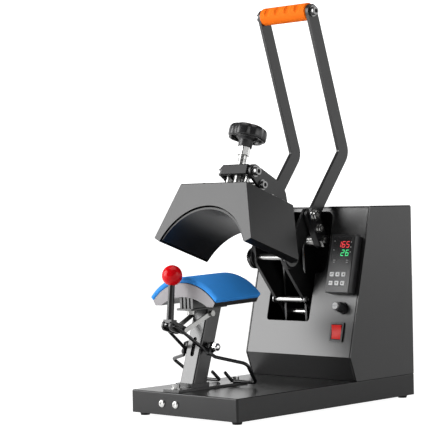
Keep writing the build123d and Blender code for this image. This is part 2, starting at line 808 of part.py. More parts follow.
with BuildPart() as controller_case:
    with BuildSketch(panel_face):
        with Locations(controller_place):
            RectangleRounded(controller_width, controller_height, 2)
    extrude(amount=controller_proud)
    front_rim = controller_case.faces().sort_by(Axis(panel_face.origin, panel_face.z_dir))[-1]
    chamfer(front_rim.edges(), length=1)
    with BuildSketch(panel_face):
        with Locations(controller_place):
            Rectangle(controller_cutout[0] - 1, controller_cutout[1] - 1)
    extrude(amount=-controller_case_depth)
    with BuildSketch(panel_face.offset(controller_proud)):
        with Locations(display_place):
            Rectangle(display_size[0], display_size[1])
    extrude(amount=-window_thick, mode=Mode.SUBTRACT)
    with BuildSketch(panel_face.offset(controller_proud)):
        with Locations(*key_places):
            Rectangle(key_size[0] + 2 * key_gap, key_size[1] + 2 * key_gap)
    extrude(amount=-key_well, mode=Mode.SUBTRACT)
save(controller_case.part, "controller_case")

with BuildPart() as display_window:
    with BuildSketch(panel_face.offset(controller_proud - window_thick)):
        with Locations(display_place):
            Rectangle(display_size[0] - 0.2, display_size[1] - 0.2)
    extrude(amount=window_thick - 0.3)
save(display_window.part, "display_window")

key_stroke = 1.0
for number, place in enumerate(key_places, start=1):
    with BuildPart() as key:
        with BuildSketch(panel_face.offset(controller_proud - key_well + key_stroke + key_gap)):
            with Locations(place):
                RectangleRounded(key_size[0], key_size[1], 1)
        extrude(amount=key_well - key_stroke - key_gap + key_proud)
        key_rim = key.faces().sort_by(Axis(panel_face.origin, panel_face.z_dir))[-1]
        fillet(key_rim.edges(), radius=0.4)
    save(key.part, f"key_{number}")

# ---------------------------------------------------------------- fuse holder and switch
with BuildPart() as fuse_holder:
    with BuildSketch(panel_face):
        with Locations(fuse_place):
            Circle(fuse_flange_radius)
    extrude(amount=3)
    with BuildSketch(panel_face.offset(3)):
        with Locations(fuse_place):
            Circle(fuse_body_radius)
    extrude(amount=fuse_body_length - 3, taper=3)
    with BuildSketch(panel_face):
        with Locations(fuse_place):
            Circle(fuse_body_radius - 2)
    extrude(amount=-28)
    with BuildSketch(panel_face.offset(fuse_body_length)):
        with Locations(fuse_place):
            Circle(fuse_cap_radius - 1 + running_gap)
    extrude(amount=-8, mode=Mode.SUBTRACT)
save(fuse_holder.part, "fuse_holder")

with BuildPart() as fuse_cap:
    with BuildSketch(panel_face.offset(fuse_body_length + 0.2)):
        with Locations(fuse_place):
            Circle(fuse_cap_radius)
    extrude(amount=fuse_cap_length)
    cap_rim = fuse_cap.faces().sort_by(Axis(panel_face.origin, panel_face.z_dir))[-1]
    chamfer(cap_rim.edges(), length=0.6)
    with BuildSketch(panel_face.offset(fuse_body_length + 0.2 + fuse_cap_length)):
        with Locations(fuse_place):
            Rectangle(2 * fuse_cap_radius, 1.4)
    extrude(amount=-1.4, mode=Mode.SUBTRACT)
    with BuildSketch(panel_face.offset(fuse_body_length + 0.2)):
        with Locations(fuse_place):
            Circle(fuse_cap_radius - 1)
    extrude(amount=-7.5)
save(fuse_cap.part, "fuse_cap")

rocker_gap = 0.4
trunnion_radius = 1.6
trunnion_reach = 0.4        # past the well's side wall
switch_side = Plane(
    origin=panel_face.from_local_coords((switch_place[0], switch_place[1], 0)),
    x_dir=panel_face.y_dir,
    z_dir=(1, 0, 0),
)
with BuildPart() as switch_bezel:
    with BuildSketch(panel_face):
        with Locations(switch_place):
            RectangleRounded(switch_size[0], switch_size[1], 1.5)
    extrude(amount=switch_proud)
    with BuildSketch(panel_face):
        with Locations(switch_place):
            Rectangle(rocker_size[0] + 1.8, rocker_size[1] + 1.8)
    extrude(amount=-24)
    with BuildSketch(panel_face.offset(switch_proud)):
        with Locations(switch_place):
            Rectangle(rocker_size[0], rocker_size[1])
    extrude(amount=-10, mode=Mode.SUBTRACT)
    with BuildSketch(switch_side):
        Circle(trunnion_radius + running_gap)
    extrude(amount=rocker_size[0] / 2 + trunnion_reach + rocker_gap, both=True, mode=Mode.SUBTRACT)
save(switch_bezel.part, "switch_bezel")

rocker_half = rocker_size[1] / 2 - 1.2
rocker_rise = 2.4
with BuildPart() as switch_rocker:
    with BuildSketch(switch_side):
        with BuildLine():
            lower = (-rocker_half, switch_proud - rocker_rise + 1)
            upper = (rocker_half, switch_proud + rocker_rise)
            ThreePointArc(lower, (0, switch_proud - 0.6), upper)
            Line(upper, (rocker_half - 1, -3))
            ThreePointArc((rocker_half - 1, -3), (0, -6), (-rocker_half + 1, -3))
            Line((-rocker_half + 1, -3), lower)
        make_face()
    extrude(amount=rocker_size[0] / 2 - rocker_gap, both=True)
    with BuildSketch(switch_side):
        Circle(trunnion_radius)
    extrude(amount=rocker_size[0] / 2 + trunnion_reach, both=True)
save(switch_rocker.part, "switch_rocker")

# ---------------------------------------------------------------- uprights
with BuildPart() as upright_right:
    with BuildSketch(side_plane(upright_inner)):
        with Locations(crank_pivot):
            Circle(upright_top_radius)
        with Locations((upright_front, deck)):
            Rectangle(upright_length, upright_base_height, align=(Align.MIN, Align.MIN))
        make_hull()
        with Locations(crank_pivot):
            Circle(crank_shaft_radius + bolt_gap, mode=Mode.SUBTRACT)
        with Locations(arm_pivot):
            Circle(pivot_shaft_radius + bolt_gap, mode=Mode.SUBTRACT)
        with Locations(*tie_places):
            Circle(tie_radius + bolt_gap, mode=Mode.SUBTRACT)
    extrude(amount=plate)
    with BuildSketch(Plane.XY.offset(deck)):
        with Locations((mech_x + flange_middle, upright_front + upright_length / 2)):
            Rectangle(upright_flange, upright_length)
        with Locations(*[(mech_x + flange_middle, y) for y in upright_bolt_ys]):
            Circle(frame_bolt_radius + bolt_gap, mode=Mode.SUBTRACT)
    extrude(amount=plate)
save(upright_right.part, "upright_right")

with BuildPart() as upright_left:
    mirror(upright_right.part, about=mech_plane)
save(upright_left.part, "upright_left")

with BuildPart() as frame_tie_rods:
    with BuildSketch(side_plane(-upright_inner - plate)):
        with Locations(*tie_places):
            Circle(tie_radius)
    extrude(amount=2 * (upright_inner + plate))
save(frame_tie_rods.part, "frame_tie_rods")

pivot_half = arm_inner + arm_thick + face_gap
with BuildPart() as arm_pivot_shaft:
    with BuildSketch(side_plane(0)):
        with Locations(arm_pivot):
            Circle(pivot_shaft_radius)
    extrude(amount=pivot_half + 6, both=True)
    for start, end, radius in ((upright_inner + plate, arm_inner - face_gap, 10), (pivot_half, pivot_half + 4, 9)):
        with BuildSketch(side_plane(start)):
            with Locations(arm_pivot):
                Circle(radius)
        extrude(amount=end - start)
        with BuildSketch(side_plane(-start)):
            with Locations(arm_pivot):
                Circle(radius)
        extrude(amount=start - end)
save(arm_pivot_shaft.part, "arm_pivot_shaft")

crank_bush_radius = 9.0
shaft_nut_height = 6.0
with BuildPart() as crank_shaft:
    with BuildSketch(side_plane(0)):
        with Locations(crank_pivot):
            Circle(crank_shaft_radius)
    extrude(amount=bar_outer + face_gap + shaft_nut_height + 2, both=True)
    with BuildSketch(side_plane(upright_inner + plate)):
        with Locations(crank_pivot):
            Circle(crank_bush_radius)
    extrude(amount=crank_inner - face_gap - upright_inner - plate)
    with BuildSketch(side_plane(bar_outer + face_gap)):
        with Locations(crank_pivot):
            RegularPolygon(radius=11, side_count=6)
    extrude(amount=shaft_nut_height)
    mirror(about=mech_plane)
save(crank_shaft.part, "crank_shaft")

# ---------------------------------------------------------------- arms
arm_nose_radius = 11.5
arm_end_radius = 14.0
bar_middle = head_at(screw_depth, bar_height_n)
head_rod_at = head_at(head_rod_place[0], head_rod_place[1])
arm_outline = [
    head_at(screw_depth, bar_height_n + arm_nose_radius),
    head_at(head_depth - 9, head_height + 40),
    head_at(head_depth + 16, head_height + 32),
    (link_shaft_place[0] + 18, link_shaft_place[1] + 11),
    (spacer_place[0] + 9, spacer_place[1] + 26),
    beyond(arm_pivot, arm_end_radius, 38),
    beyond(arm_pivot, arm_end_radius, 180),
    (spacer_place[0] + 10, spacer_place[1] - 12),
    (spacer_place[0], spacer_place[1] - 5),
    (link_shaft_place[0] - 10, link_shaft_place[1] - 8),
    head_at(head_depth + 9, head_height + 10),
    head_at(head_rod_place[0], head_rod_place[1] - 9),
    head_at(screw_depth, bar_height_n - arm_nose_radius),
]
arm_corner_radii = [0, 30, 26, 30, 30, 0, 0, 8, 8, 12, 12, 20, 0]

with BuildPart() as arm_right:
    with BuildSketch(side_plane(arm_inner)):
        with BuildLine():
            FilletPolyline(*arm_outline, radius=arm_corner_radii, close=True)
        make_face()
        with Locations(bar_middle):
            Circle(arm_nose_radius)
        with Locations(arm_pivot):
            Circle(arm_end_radius)
        with Locations(arm_pivot):
            Circle(pivot_shaft_radius + running_gap, mode=Mode.SUBTRACT)
        with Locations(bar_middle, head_rod_at, spacer_place):
            Circle(frame_bolt_radius + bolt_gap, mode=Mode.SUBTRACT)
        with Locations(link_shaft_place):
            Circle(link_shaft_radius + bolt_gap, mode=Mode.SUBTRACT)
    extrude(amount=arm_thick)
save(arm_right.part, "arm_right")

with BuildPart() as arm_left:
    mirror(arm_right.part, about=mech_plane)
save(arm_left.part, "arm_left")

with BuildPart() as front_bar:
    with BuildSketch(head_top(bar_height_n - bar_block_height / 2)):
        with Locations((0, screw_depth)):
            Rectangle(2 * arm_inner, bar_block_depth)
            Circle(spindle_radius + running_gap, mode=Mode.SUBTRACT)
        with Locations((-guide_x, screw_depth), (guide_x, screw_depth)):
            Circle(guide_radius + running_gap, mode=Mode.SUBTRACT)
    extrude(amount=bar_block_height)
    fillet(front_bar.edges().filter_by(Axis.X), radius=2)
save(front_bar.part, "front_bar")

arm_bolt_reach = arm_thick - 0.5
with BuildPart() as arm_bolts:
    for place, head_radius, head_height_x in ((bar_middle, 7, 7), (head_rod_at, 6.5, 5), (spacer_place, 5.5, 2)):
        seat = side_plane(arm_inner + arm_thick)
        seat_at = Plane(origin=seat.from_local_coords((place[0], place[1], 0)), z_dir=(1, 0, 0))
        add(socket_screw(seat_at, frame_bolt_radius, arm_bolt_reach, head_radius, head_height_x))
    mirror(about=mech_plane)
save(arm_bolts.part, "arm_bolts")

with BuildPart() as arm_spacer_rods:
    with BuildSketch(side_plane(-arm_inner)):
        with Locations(spacer_place):
            Circle(spacer_radius)
        with Locations(head_rod_at):
            Circle(head_rod_radius)
    extrude(amount=2 * arm_inner)
save(arm_spacer_rods.part, "arm_spacer_rods")

# ---------------------------------------------------------------- link shaft and toggle links
eye_cover_radius = 15.5
link_outer = link_inner + link_thick
nut_seat = link_outer + face_gap + washer_thick
link_shaft_half = nut_seat + 9
with BuildPart() as link_shaft:
    with BuildSketch(side_plane(-link_shaft_half)):
        with Locations(link_shaft_place):
            Circle(link_shaft_radius)
    extrude(amount=2 * link_shaft_half)
save(link_shaft.part, "link_shaft")

with BuildPart() as link_shaft_nuts:
    for start in (arm_inner + arm_thick, link_outer + face_gap):
        with BuildSketch(side_plane(start)):
            with Locations(link_shaft_place):
                Circle(eye_cover_radius)
                Circle(link_shaft_radius + bolt_gap, mode=Mode.SUBTRACT)
        extrude(amount=washer_thick)
    nut_place = side_plane(nut_seat).from_local_coords((link_shaft_place[0], link_shaft_place[1], 0))
    add(hex_nut(Plane(origin=nut_place, z_dir=(1, 0, 0)), 17, 7, link_shaft_radius + bolt_gap))
    mirror(about=mech_plane)
save(link_shaft_nuts.part, "link_shaft_nuts")

link_end = beyond(crank_pin_place, link_length, link_direction)
with BuildPart() as toggle_links:
    with BuildSketch(side_plane(link_inner)):
        with Locations(crank_pin_place):
            Circle(12)
        with Locations(link_end):
            Circle(eye_cover_radius + 0.5)
        make_hull()
        with Locations(crank_pin_place):
            Circle(crank_pin_radius + running_gap, mode=Mode.SUBTRACT)
        with Locations(link_end):
            Circle(link_eye_radius, mode=Mode.SUBTRACT)
    extrude(amount=link_thick)
    mirror(about=mech_plane)
save(toggle_links.part, "toggle_links")

# ---------------------------------------------------------------- cranks and handle
crank_bolt_place = between(crank_pivot, crank_pin_place, 0.5)
with BuildPart() as crank_plates:
    with BuildSketch(side_plane(crank_inner)):
        with Locations(crank_pivot, crank_pin_place):
            Circle(bar_width / 2)
        make_hull()
        with Locations(crank_pivot):
            Circle(crank_shaft_radius + running_gap, mode=Mode.SUBTRACT)
        with Locations(crank_pin_place):
            Circle(crank_pin_radius + bolt_gap, mode=Mode.SUBTRACT)
        with Locations(crank_bolt_place):
            Circle(frame_bolt_radius + bolt_gap, mode=Mode.SUBTRACT)
    extrude(amount=crank_thick)
    mirror(about=mech_plane)
save(crank_plates.part, "crank_plates")

with BuildPart() as handle_bar_right:
    with BuildSketch(side_plane(bar_inner)):
        with BuildLine():
            centre_line = FilletPolyline(
                crank_pivot, crank_pin_place, handle_bend, handle_end, radius=handle_bend_radius
            )
        trace(centre_line, line_width=bar_width)
        with Locations(crank_pivot, handle_end):
            Circle(bar_width / 2)
        with Locations(crank_pivot):
            Circle(crank_shaft_radius + running_gap, mode=Mode.SUBTRACT)
        with Locations(crank_pin_place):
            Circle(crank_pin_radius + bolt_gap, mode=Mode.SUBTRACT)
        with Locations(crank_bolt_place, handle_end):
            Circle(frame_bolt_radius + bolt_gap, mode=Mode.SUBTRACT)
    extrude(amount=bar_thick)
save(handle_bar_right.part, "handle_bar_right")

with BuildPart() as handle_bar_left:
    mirror(handle_bar_right.part, about=mech_plane)
save(handle_bar_left.part, "handle_bar_left")

with BuildPart() as handle_bolts:
    bolt_at = side_plane(bar_outer).from_local_coords((crank_bolt_place[0], crank_bolt_place[1], 0))
    add(socket_screw(Plane(origin=bolt_at, z_dir=(1, 0, 0)), frame_bolt_radius, bar_thick + crank_thick, 6.5, 5))
    mirror(about=mech_plane)
save(handle_bolts.part, "handle_bolts")

pin_inner = link_inner - face_gap - washer_thick
with BuildPart() as crank_pins:
    pin_at = side_plane(bar_outer).from_local_coords((crank_pin_place[0], crank_pin_place[1], 0))
    add(socket_screw(Plane(origin=pin_at, z_dir=(1, 0, 0)), crank_pin_radius, bar_outer - pin_inner, 8, 6))
    with BuildSketch(side_plane(pin_inner)):
        with Locations(crank_pin_place):
            Circle(crank_pin_radius + 3)
    extrude(amount=washer_thick)
    with BuildSketch(side_plane(link_outer + face_gap)):
        with Locations(crank_pin_place):
            Circle(crank_pin_radius + 3)
    extrude(amount=crank_inner - link_outer - face_gap)
    mirror(about=mech_plane)
save(crank_pins.part, "crank_pins")

grip_half = bar_inner - 0.3
with BuildPart() as grip_bolt:
    bolt_at = side_plane(bar_outer).from_local_coords((handle_end[0], handle_end[1], 0))
    add(socket_screw(Plane(origin=bolt_at, z_dir=(1, 0, 0)), grip_bolt_radius, bar_outer, 7, 6))
    mirror(about=mech_plane)
save(grip_bolt.part, "grip_bolt")

bite_angle = 150.0          # the finger side faces forward and up
finger_offset = grip_radius + finger_radius - finger_depth
with BuildPart() as grip:
    with BuildSketch(side_plane(-grip_half)):
        with Locations(handle_end):
            Circle(grip_radius)
            Circle(grip_bolt_radius + bolt_gap, mode=Mode.SUBTRACT)
    extrude(amount=2 * grip_half)
    end_rims = grip.edges().filter_by(GeomType.CIRCLE).filter_by(lambda edge: edge.radius > grip_bolt_radius + 1)
    fillet(end_rims, radius=2.5)
    finger_centre = beyond(handle_end, finger_offset, bite_angle)
    finger_axis = beyond((0, 0), 1, bite_angle + 90)
    for finger in range(grip_fingers):
        across = (finger - (grip_fingers - 1) / 2) * finger_pitch
        finger_plane = Plane(
            origin=(mech_x + across, finger_centre[0], finger_centre[1]),
            x_dir=(1, 0, 0),
            z_dir=(0, finger_axis[0], finger_axis[1]),
        )
        with BuildSketch(finger_plane):
            Ellipse(finger_radius * 0.72, finger_radius)
        extrude(amount=2 * grip_radius, both=True, mode=Mode.SUBTRACT)
save(grip.part, "grip")

# ---------------------------------------------------------------- head
cover_outline = [
    (-head_half_low, 0),
    (-head_half_low + lobe_width, -lobe_drop),
    (head_half_low - lobe_width, -lobe_drop),
    (head_half_low, 0),
    (head_half_top, head_height),
    (-head_half_top, head_height),
]
stud_depths = [stud_inset, head_depth - stud_inset]
stud_spots = [(x, depth) for x in (-stud_x, stud_x) for depth in stud_depths]
guide_spots = [(-guide_x, screw_depth), (guide_x, screw_depth)]

with BuildPart() as head_cover:
    with BuildSketch(head_front(0)):
        with BuildLine():
            Polyline(*cover_outline, close=True)
        make_face()
    extrude(amount=-head_depth)
    top_face = head_cover.faces().sort_by(Axis(head_top(0).origin, head_top(0).z_dir))[-1]
    fillet(top_face.edges(), radius=sheet)
    with BuildSketch(head_front(sheet)):
        with BuildLine():
            Polyline(*cover_outline, close=True)
        make_face()
        offset(amount=-sheet)
    extrude(amount=-head_depth + 2 * sheet, mode=Mode.SUBTRACT)
    with BuildSketch(head_front(0)):
        with Locations((0, -cover_arch_drop)):
            Circle(cover_arch_radius)
    extrude(amount=-head_depth, mode=Mode.SUBTRACT)
    with BuildSketch(head_top(head_height)):
        with Locations(*stud_spots):
            Circle(stud_radius + bolt_gap)
    extrude(amount=-sheet, mode=Mode.SUBTRACT)
save(head_cover.part, "head_cover")

shoe_length = head_depth - 2 * shoe_setback
with BuildPart() as heating_shoe:
    with BuildSketch(head_front(shoe_setback)):
        add(arc_band(shoe_radius, shoe_radius + shoe_thick, shoe_half_angle, shoe_drop))
    extrude(amount=-shoe_length)
    stud_foot = (((shoe_radius + shoe_thick) ** 2 - stud_x**2) ** 0.5) - shoe_drop - stud_sink
    with BuildSketch(head_top(stud_foot)):
        with Locations(*stud_spots):
            Circle(stud_radius + bolt_gap)
    extrude(amount=shoe_thick, mode=Mode.SUBTRACT)
save(heating_shoe.part, "heating_shoe")

with BuildPart() as insulation_blanket:
    with BuildSketch(head_front(shoe_setback + 2)):
        blanket_inner = shoe_radius + shoe_thick + blanket_gap
        add(arc_band(blanket_inner, blanket_inner + blanket_thick, blanket_half_angle, shoe_drop))
    extrude(amount=-shoe_length + 4)
    with BuildSketch(head_top(0)):
        with Locations(*stud_spots):
            Circle(stud_radius + bolt_gap)
    extrude(amount=head_height, mode=Mode.SUBTRACT)
save(insulation_blanket.part, "insulation_blanket")

stud_top = head_height + 9
with BuildPart() as shoe_studs:
    with BuildSketch(head_top(stud_foot)):
        with Locations(*stud_spots):
            Circle(stud_radius)
    extrude(amount=stud_top - stud_foot)
    with BuildSketch(head_top(head_height)):
        with Locations(*stud_spots):
            Circle(2 * stud_radius)
    extrude(amount=1)
    with BuildSketch(head_top(head_height + 1)):
        with Locations(*stud_spots):
            RegularPolygon(radius=5, side_count=6, major_radius=False)
    extrude(amount=5)
save(shoe_studs.part, "shoe_studs")

with BuildPart() as guide_rods:
    with BuildSketch(head_top(head_height)):
        with Locations(*guide_spots):
            Circle(guide_radius)
    extrude(amount=guide_top - head_height)
    with BuildSketch(head_top(head_height)):
        with Locations(*guide_spots):
            Circle(guide_flange_radius)
        with Locations((0, screw_depth)):
            Circle(collar_radius + bolt_gap, mode=Mode.SUBTRACT)
    extrude(amount=3)
save(guide_rods.part, "guide_rods")

with BuildPart() as thrust_collar:
    with BuildSketch(head_top(head_height)):
        with Locations((0, screw_depth)):
            Circle(collar_radius)
    extrude(amount=collar_height)
    collar_rim = thrust_collar.faces().sort_by(Axis(head_top(0).origin, head_top(0).z_dir))[-1]
    chamfer(collar_rim.edges(), length=1.5)
    with BuildSketch(head_top(head_height + 2)):
        with Locations((0, screw_depth)):
            Circle(spindle_radius + running_gap)
    extrude(amount=collar_height, mode=Mode.SUBTRACT)
save(thrust_collar.part, "thrust_collar")

# ---------------------------------------------------------------- pressure screw
spindle_low = head_height + 2.3
spindle_top = knob_base + knob_rim_height - 6
with BuildPart() as pressure_spindle:
    with BuildSketch(head_top(spindle_low)):
        with Locations((0, screw_depth)):
            Circle(spindle_radius)
    extrude(amount=knob_hub_base - spindle_low)
    with BuildSketch(head_top(knob_hub_base)):
        with Locations((0, screw_depth)):
            Circle(spindle_radius - 1)
    extrude(amount=spindle_top - knob_hub_base)
save(pressure_spindle.part, "pressure_spindle")

with BuildPart() as spindle_lock_nut:
    nut_at = head_top(lock_nut_base).from_local_coords((0, screw_depth, 0))
    nut_seat_plane = Plane(origin=nut_at, x_dir=(1, 0, 0), z_dir=head_top(0).z_dir)
    add(hex_nut(nut_seat_plane, lock_nut_flats, lock_nut_height, spindle_radius + bolt_gap))
save(spindle_lock_nut.part, "spindle_lock_nut")

with BuildPart() as star_knob:
    with BuildSketch(head_top(knob_base)):
        with Locations((0, screw_depth)):
            Circle(knob_core_radius)
            with PolarLocations(knob_core_radius, knob_lobes):
                Circle(knob_lobe_radius)
    extrude(amount=knob_rim_height)
    rim_face = star_knob.faces().sort_by(Axis(head_top(0).origin, head_top(0).z_dir))[-1]
    fillet(rim_face.edges(), radius=2.5)
    with BuildSketch(head_top(knob_base + knob_rim_height)):
        with Locations((0, screw_depth)):
            Circle(knob_crown_radius)
    extrude(amount=knob_crown_height, taper=12)
    with BuildSketch(head_top(knob_base)):
        with Locations((0, screw_depth)):
            Circle(knob_hollow_radius)
    extrude(amount=knob_hollow_depth, mode=Mode.SUBTRACT)
    with BuildSketch(head_top(knob_base + 1)):
        with Locations((0, screw_depth)):
            with PolarLocations(knob_hollow_radius / 2, knob_lobes):
                Rectangle(knob_hollow_radius + 2, knob_rib)
    extrude(amount=knob_hollow_depth)
    with BuildSketch(head_top(knob_hub_base)):
        with Locations((0, screw_depth)):
            Circle(knob_hub_radius)
    extrude(amount=knob_base + knob_hollow_depth - knob_hub_base)
    with BuildSketch(head_top(knob_hub_base)):
        with Locations((0, screw_depth)):
            Circle(spindle_radius - 1 + bolt_gap)
    extrude(amount=spindle_top - knob_hub_base, mode=Mode.SUBTRACT)
save(star_knob.part, "star_knob")
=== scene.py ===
"""Finishes and fine pieces of a bench cap press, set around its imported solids.

Metres, +Z up, front towards -Y.  The linkage and the platen stand left of the middle.
"""

import json
import math

import bmesh
import bpy
from bpy.props import FloatProperty, FloatVectorProperty, PointerProperty, StringProperty
from mathutils import Matrix, Vector


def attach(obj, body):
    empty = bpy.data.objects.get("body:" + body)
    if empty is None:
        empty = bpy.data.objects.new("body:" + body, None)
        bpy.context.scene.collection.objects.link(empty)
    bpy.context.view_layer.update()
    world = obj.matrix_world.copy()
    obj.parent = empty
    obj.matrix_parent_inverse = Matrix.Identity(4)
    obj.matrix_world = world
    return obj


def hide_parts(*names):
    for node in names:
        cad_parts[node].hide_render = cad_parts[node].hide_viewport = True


bl_info = {
    "name": "Cap press",
    "version": (1, 0, 0),
    "blender": (4, 5, 0),
    "location": "View3D > Sidebar > Cap press",
    "description": "Finishes and fine pieces of a bench press for caps",
    "category": "Object",
}

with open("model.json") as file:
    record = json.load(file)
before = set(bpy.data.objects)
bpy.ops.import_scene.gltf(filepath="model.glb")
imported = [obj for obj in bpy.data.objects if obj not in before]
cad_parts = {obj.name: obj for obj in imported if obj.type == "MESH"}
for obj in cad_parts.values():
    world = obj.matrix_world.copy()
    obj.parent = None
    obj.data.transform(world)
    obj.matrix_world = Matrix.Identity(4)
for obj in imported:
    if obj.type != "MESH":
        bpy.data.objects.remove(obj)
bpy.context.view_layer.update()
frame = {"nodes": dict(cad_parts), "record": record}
NODES = frame["nodes"]
BODY_OF = {node: body for body, nodes in frame["record"]["behaviour"]["bodies"].items() for node in nodes}
MM = 0.001

# ---------------- places and sizes of the press
# in millimetres and degrees; a place is a (y, z) pair
MECH_X = -30.0
HEAD_SWING = 20.8
PLATEN_RISE = 2.1
HEAD_TILT = HEAD_SWING - PLATEN_RISE
ARM_PIVOT = (129.0, 106.0)
PAD_MIDDLE = (-131.0, 118.0)
HEAD_DEPTH = 117.5
HEAD_SETBACK = 8.0
SHOE_DROP = 52.0
SCREW_DEPTH = 54.0
# depths of the shoe's ends behind the head's front, and the radii of its face and its back
SHOE_ENDS = (2.6, 114.9)
SHOE_RADII = (100.0, 112.0)
SHOE_HALF_ANGLE = 61.0
PANEL_NOSE = (48.9, 79.1)
PANEL_LEAN = 13.595
PLATEN_LENGTH = 100.0
ARCH_RADIUS = 94.2
ARCH_DROP = 26.1
CLAMP_FOOT = 50.0
CLAMP_HALF_WIDTH = 14.0
CLAMP_INSET = 6.0
CLAMP_RIBS = 4
CLAMP_RIB_WIDTH = 4.6
CLAMP_RIB_DEPTH = 5.0
CLAMP_RIB_SUNK = 0.1
# lower end, upper end and width of the slot in the post
POST_SLOT = (91.5, 121.0, 7.6)
CUTTER_REACH = 60.0
AXLE_Y = -146.4
# where the bail's wires and bushes stay bare: a (y, z) place and the reach round it
BARE_WIRE = ((AXLE_Y, 106.0, 8.0), (-212.7, 141.0, 5.0))
STRUT_TOP = (-140.0, 157.5)
LEVER_PIVOT = (-192.0, 134.0)
# how far out from the linkage's middle the struts start, at their top and at the lever's pivot
STRUT_XS = (15.8, 11.0)
# how far out from the linkage's middle the nuts are seated
NUT_SEAT = 43.0
POST_EDGE = 0.5
PLATEN_EDGE = 0.4


def swung(point, centre, angle):
    """A (y, z) point turned about a pivot by an angle in degrees."""
    y, z = point[0] - centre[0], point[1] - centre[1]
    turn = math.radians(angle)
    return (
        centre[0] + y * math.cos(turn) - z * math.sin(turn),
        centre[1] + y * math.sin(turn) + z * math.cos(turn),
    )


def placing(x, place, lean):
    """Local X is across the press and local Z leans back from upright; the result is in metres."""
    turned = Matrix.Rotation(math.radians(-lean), 4, "X")
    return Matrix.Translation((x * MM, place[0] * MM, place[1] * MM)) @ turned @ Matrix.Scale(MM, 4)


def head_place():
    """Local Y is depth behind the head's front and local Z is height above its bottom corners."""
    closed = swung(
        (PAD_MIDDLE[0] + HEAD_SETBACK - HEAD_DEPTH / 2, PAD_MIDDLE[1] + SHOE_DROP), PAD_MIDDLE, PLATEN_RISE
    )
    return placing(MECH_X, swung(closed, ARM_PIVOT, -HEAD_SWING), HEAD_TILT)


def panel_place():
    """Local X is across, local Z is up the panel from its nose and local -Y is out of it."""
    return placing(0, PANEL_NOSE, PANEL_LEAN)


def platen_place():
    """Local Y is behind the pad's middle and local Z is above its arc centre."""
    return placing(MECH_X, PAD_MIDDLE, -PLATEN_RISE)


# ---------------- nodes
class Value:
    """A node's socket that takes arithmetic; each operator adds its Math node."""

    def __init__(self, nodes, socket):
        self.nodes = nodes
        self.socket = socket

    def maths(self, operation, first, second):
        return self.nodes.node("ShaderNodeMath", {"operation": operation}, {0: first, 1: second})

    def __add__(self, other):
        return self.maths("ADD", self, other)

    def __radd__(self, other):
        return self.maths("ADD", other, self)

    def __sub__(self, other):
        return self.maths("SUBTRACT", self, other)

    def __rsub__(self, other):
        return self.maths("SUBTRACT", other, self)

    def __mul__(self, other):
        return self.maths("MULTIPLY", self, other)

    def __rmul__(self, other):
        return self.maths("MULTIPLY", other, self)

    def __truediv__(self, other):
        return self.maths("DIVIDE", self, other)

    def __rtruediv__(self, other):
        return self.maths("DIVIDE", other, self)


class Nodes:
    """A node tree, and the one way in which its nodes are made."""

    def __init__(self, tree):
        self.tree = tree

    def node(self, kind, settings=None, sockets=None, output=0):
        """Adds a node, sets it up, feeds its sockets and returns one of its outputs, if it has any."""
        made = self.tree.nodes.new(kind)
        for key, value in (settings or {}).items():
            setattr(made, key, value)
        for key, value in (sockets or {}).items():
            self.feed(made.inputs[key], value)
        return Value(self, made.outputs[output]) if made.outputs else None

    def feed(self, socket, value):
        """Links one value or a list of them to a socket, or sets it to a plain number or colour."""
        if isinstance(value, list):
            for part in value:
                self.feed(socket, part)
        elif isinstance(value, Value):
            self.tree.links.new(value.socket, socket)
        elif socket.type == "RGBA":
            socket.default_value = (*value, 1)
        else:
            socket.default_value = value

    def ray(self, kind):
        """1 for one kind of light ray and 0 for all others."""
        return self.node("ShaderNodeLightPath", output=f"Is {kind} Ray")


class Finish(Nodes):
    """A material, whose nodes feed its main shader."""

    def __init__(self, name):
        self.material = bpy.data.materials.new(name)
        self.material.use_nodes = True
        super().__init__(self.material.node_tree)
        self.shader = self.tree.nodes["Principled BSDF"]

    def surface(self, **sockets):
        """Feeds the main shader and returns the material; a name's underscores stand for spaces."""
        for key, value in sockets.items():
            self.feed(self.shader.inputs[key.replace("_", " ")], value)
        return self.material

    def place(self):
        """Places on the piece, in metres."""
        return self.node("ShaderNodeTexCoord", output="Object")

    def noise(self, scale, detail=2.0, stretch=None):
        """Soft clouds with features about 1 / scale metres across, pulled out along an axis if asked."""
        at = self.place()
        if stretch:
            at = self.node("ShaderNodeMapping", {}, {"Vector": at, "Scale": stretch})
        return self.node("ShaderNodeTexNoise", {}, {"Vector": at, "Scale": scale, "Detail": detail})

    def cells(self, scale):
        """Distance from the middles of packed cells, each about 1 / scale metres across."""
        return self.node("ShaderNodeTexVoronoi", {}, {"Vector": self.place(), "Scale": scale})

    def mix(self, share, first, second):
        """A colour between two."""
        return self.node("ShaderNodeMix", {"data_type": "RGBA"}, {0: share, 6: first, 7: second}, output=2)

    def toned(self, share, colour, low, high):
        """A colour that a share takes from its darker shade to its lighter one."""
        dark, light = (tuple(min(part * level, 1) for part in colour) for level in (low, high))
        return self.mix(share, dark, light)

    def step(self, value, low, high):
        """0 below low and 1 above high, with a smooth run between."""
        run = {"Value": value, "From Min": low, "From Max": high}
        return self.node("ShaderNodeMapRange", {"interpolation_type": "SMOOTHSTEP"}, run)

    def along(self, axis):
        """Distance along an axis, in metres."""
        return self.node(
            "ShaderNodeVectorMath", {"operation": "DOT_PRODUCT"}, {0: self.place(), 1: axis}, output="Value"
        )

    def bump(self, height, depth, strength):
        """A normal tilted by a height whose whole range is a depth in metres."""
        return self.node("ShaderNodeBump", {}, {"Height": height, "Distance": depth, "Strength": strength})


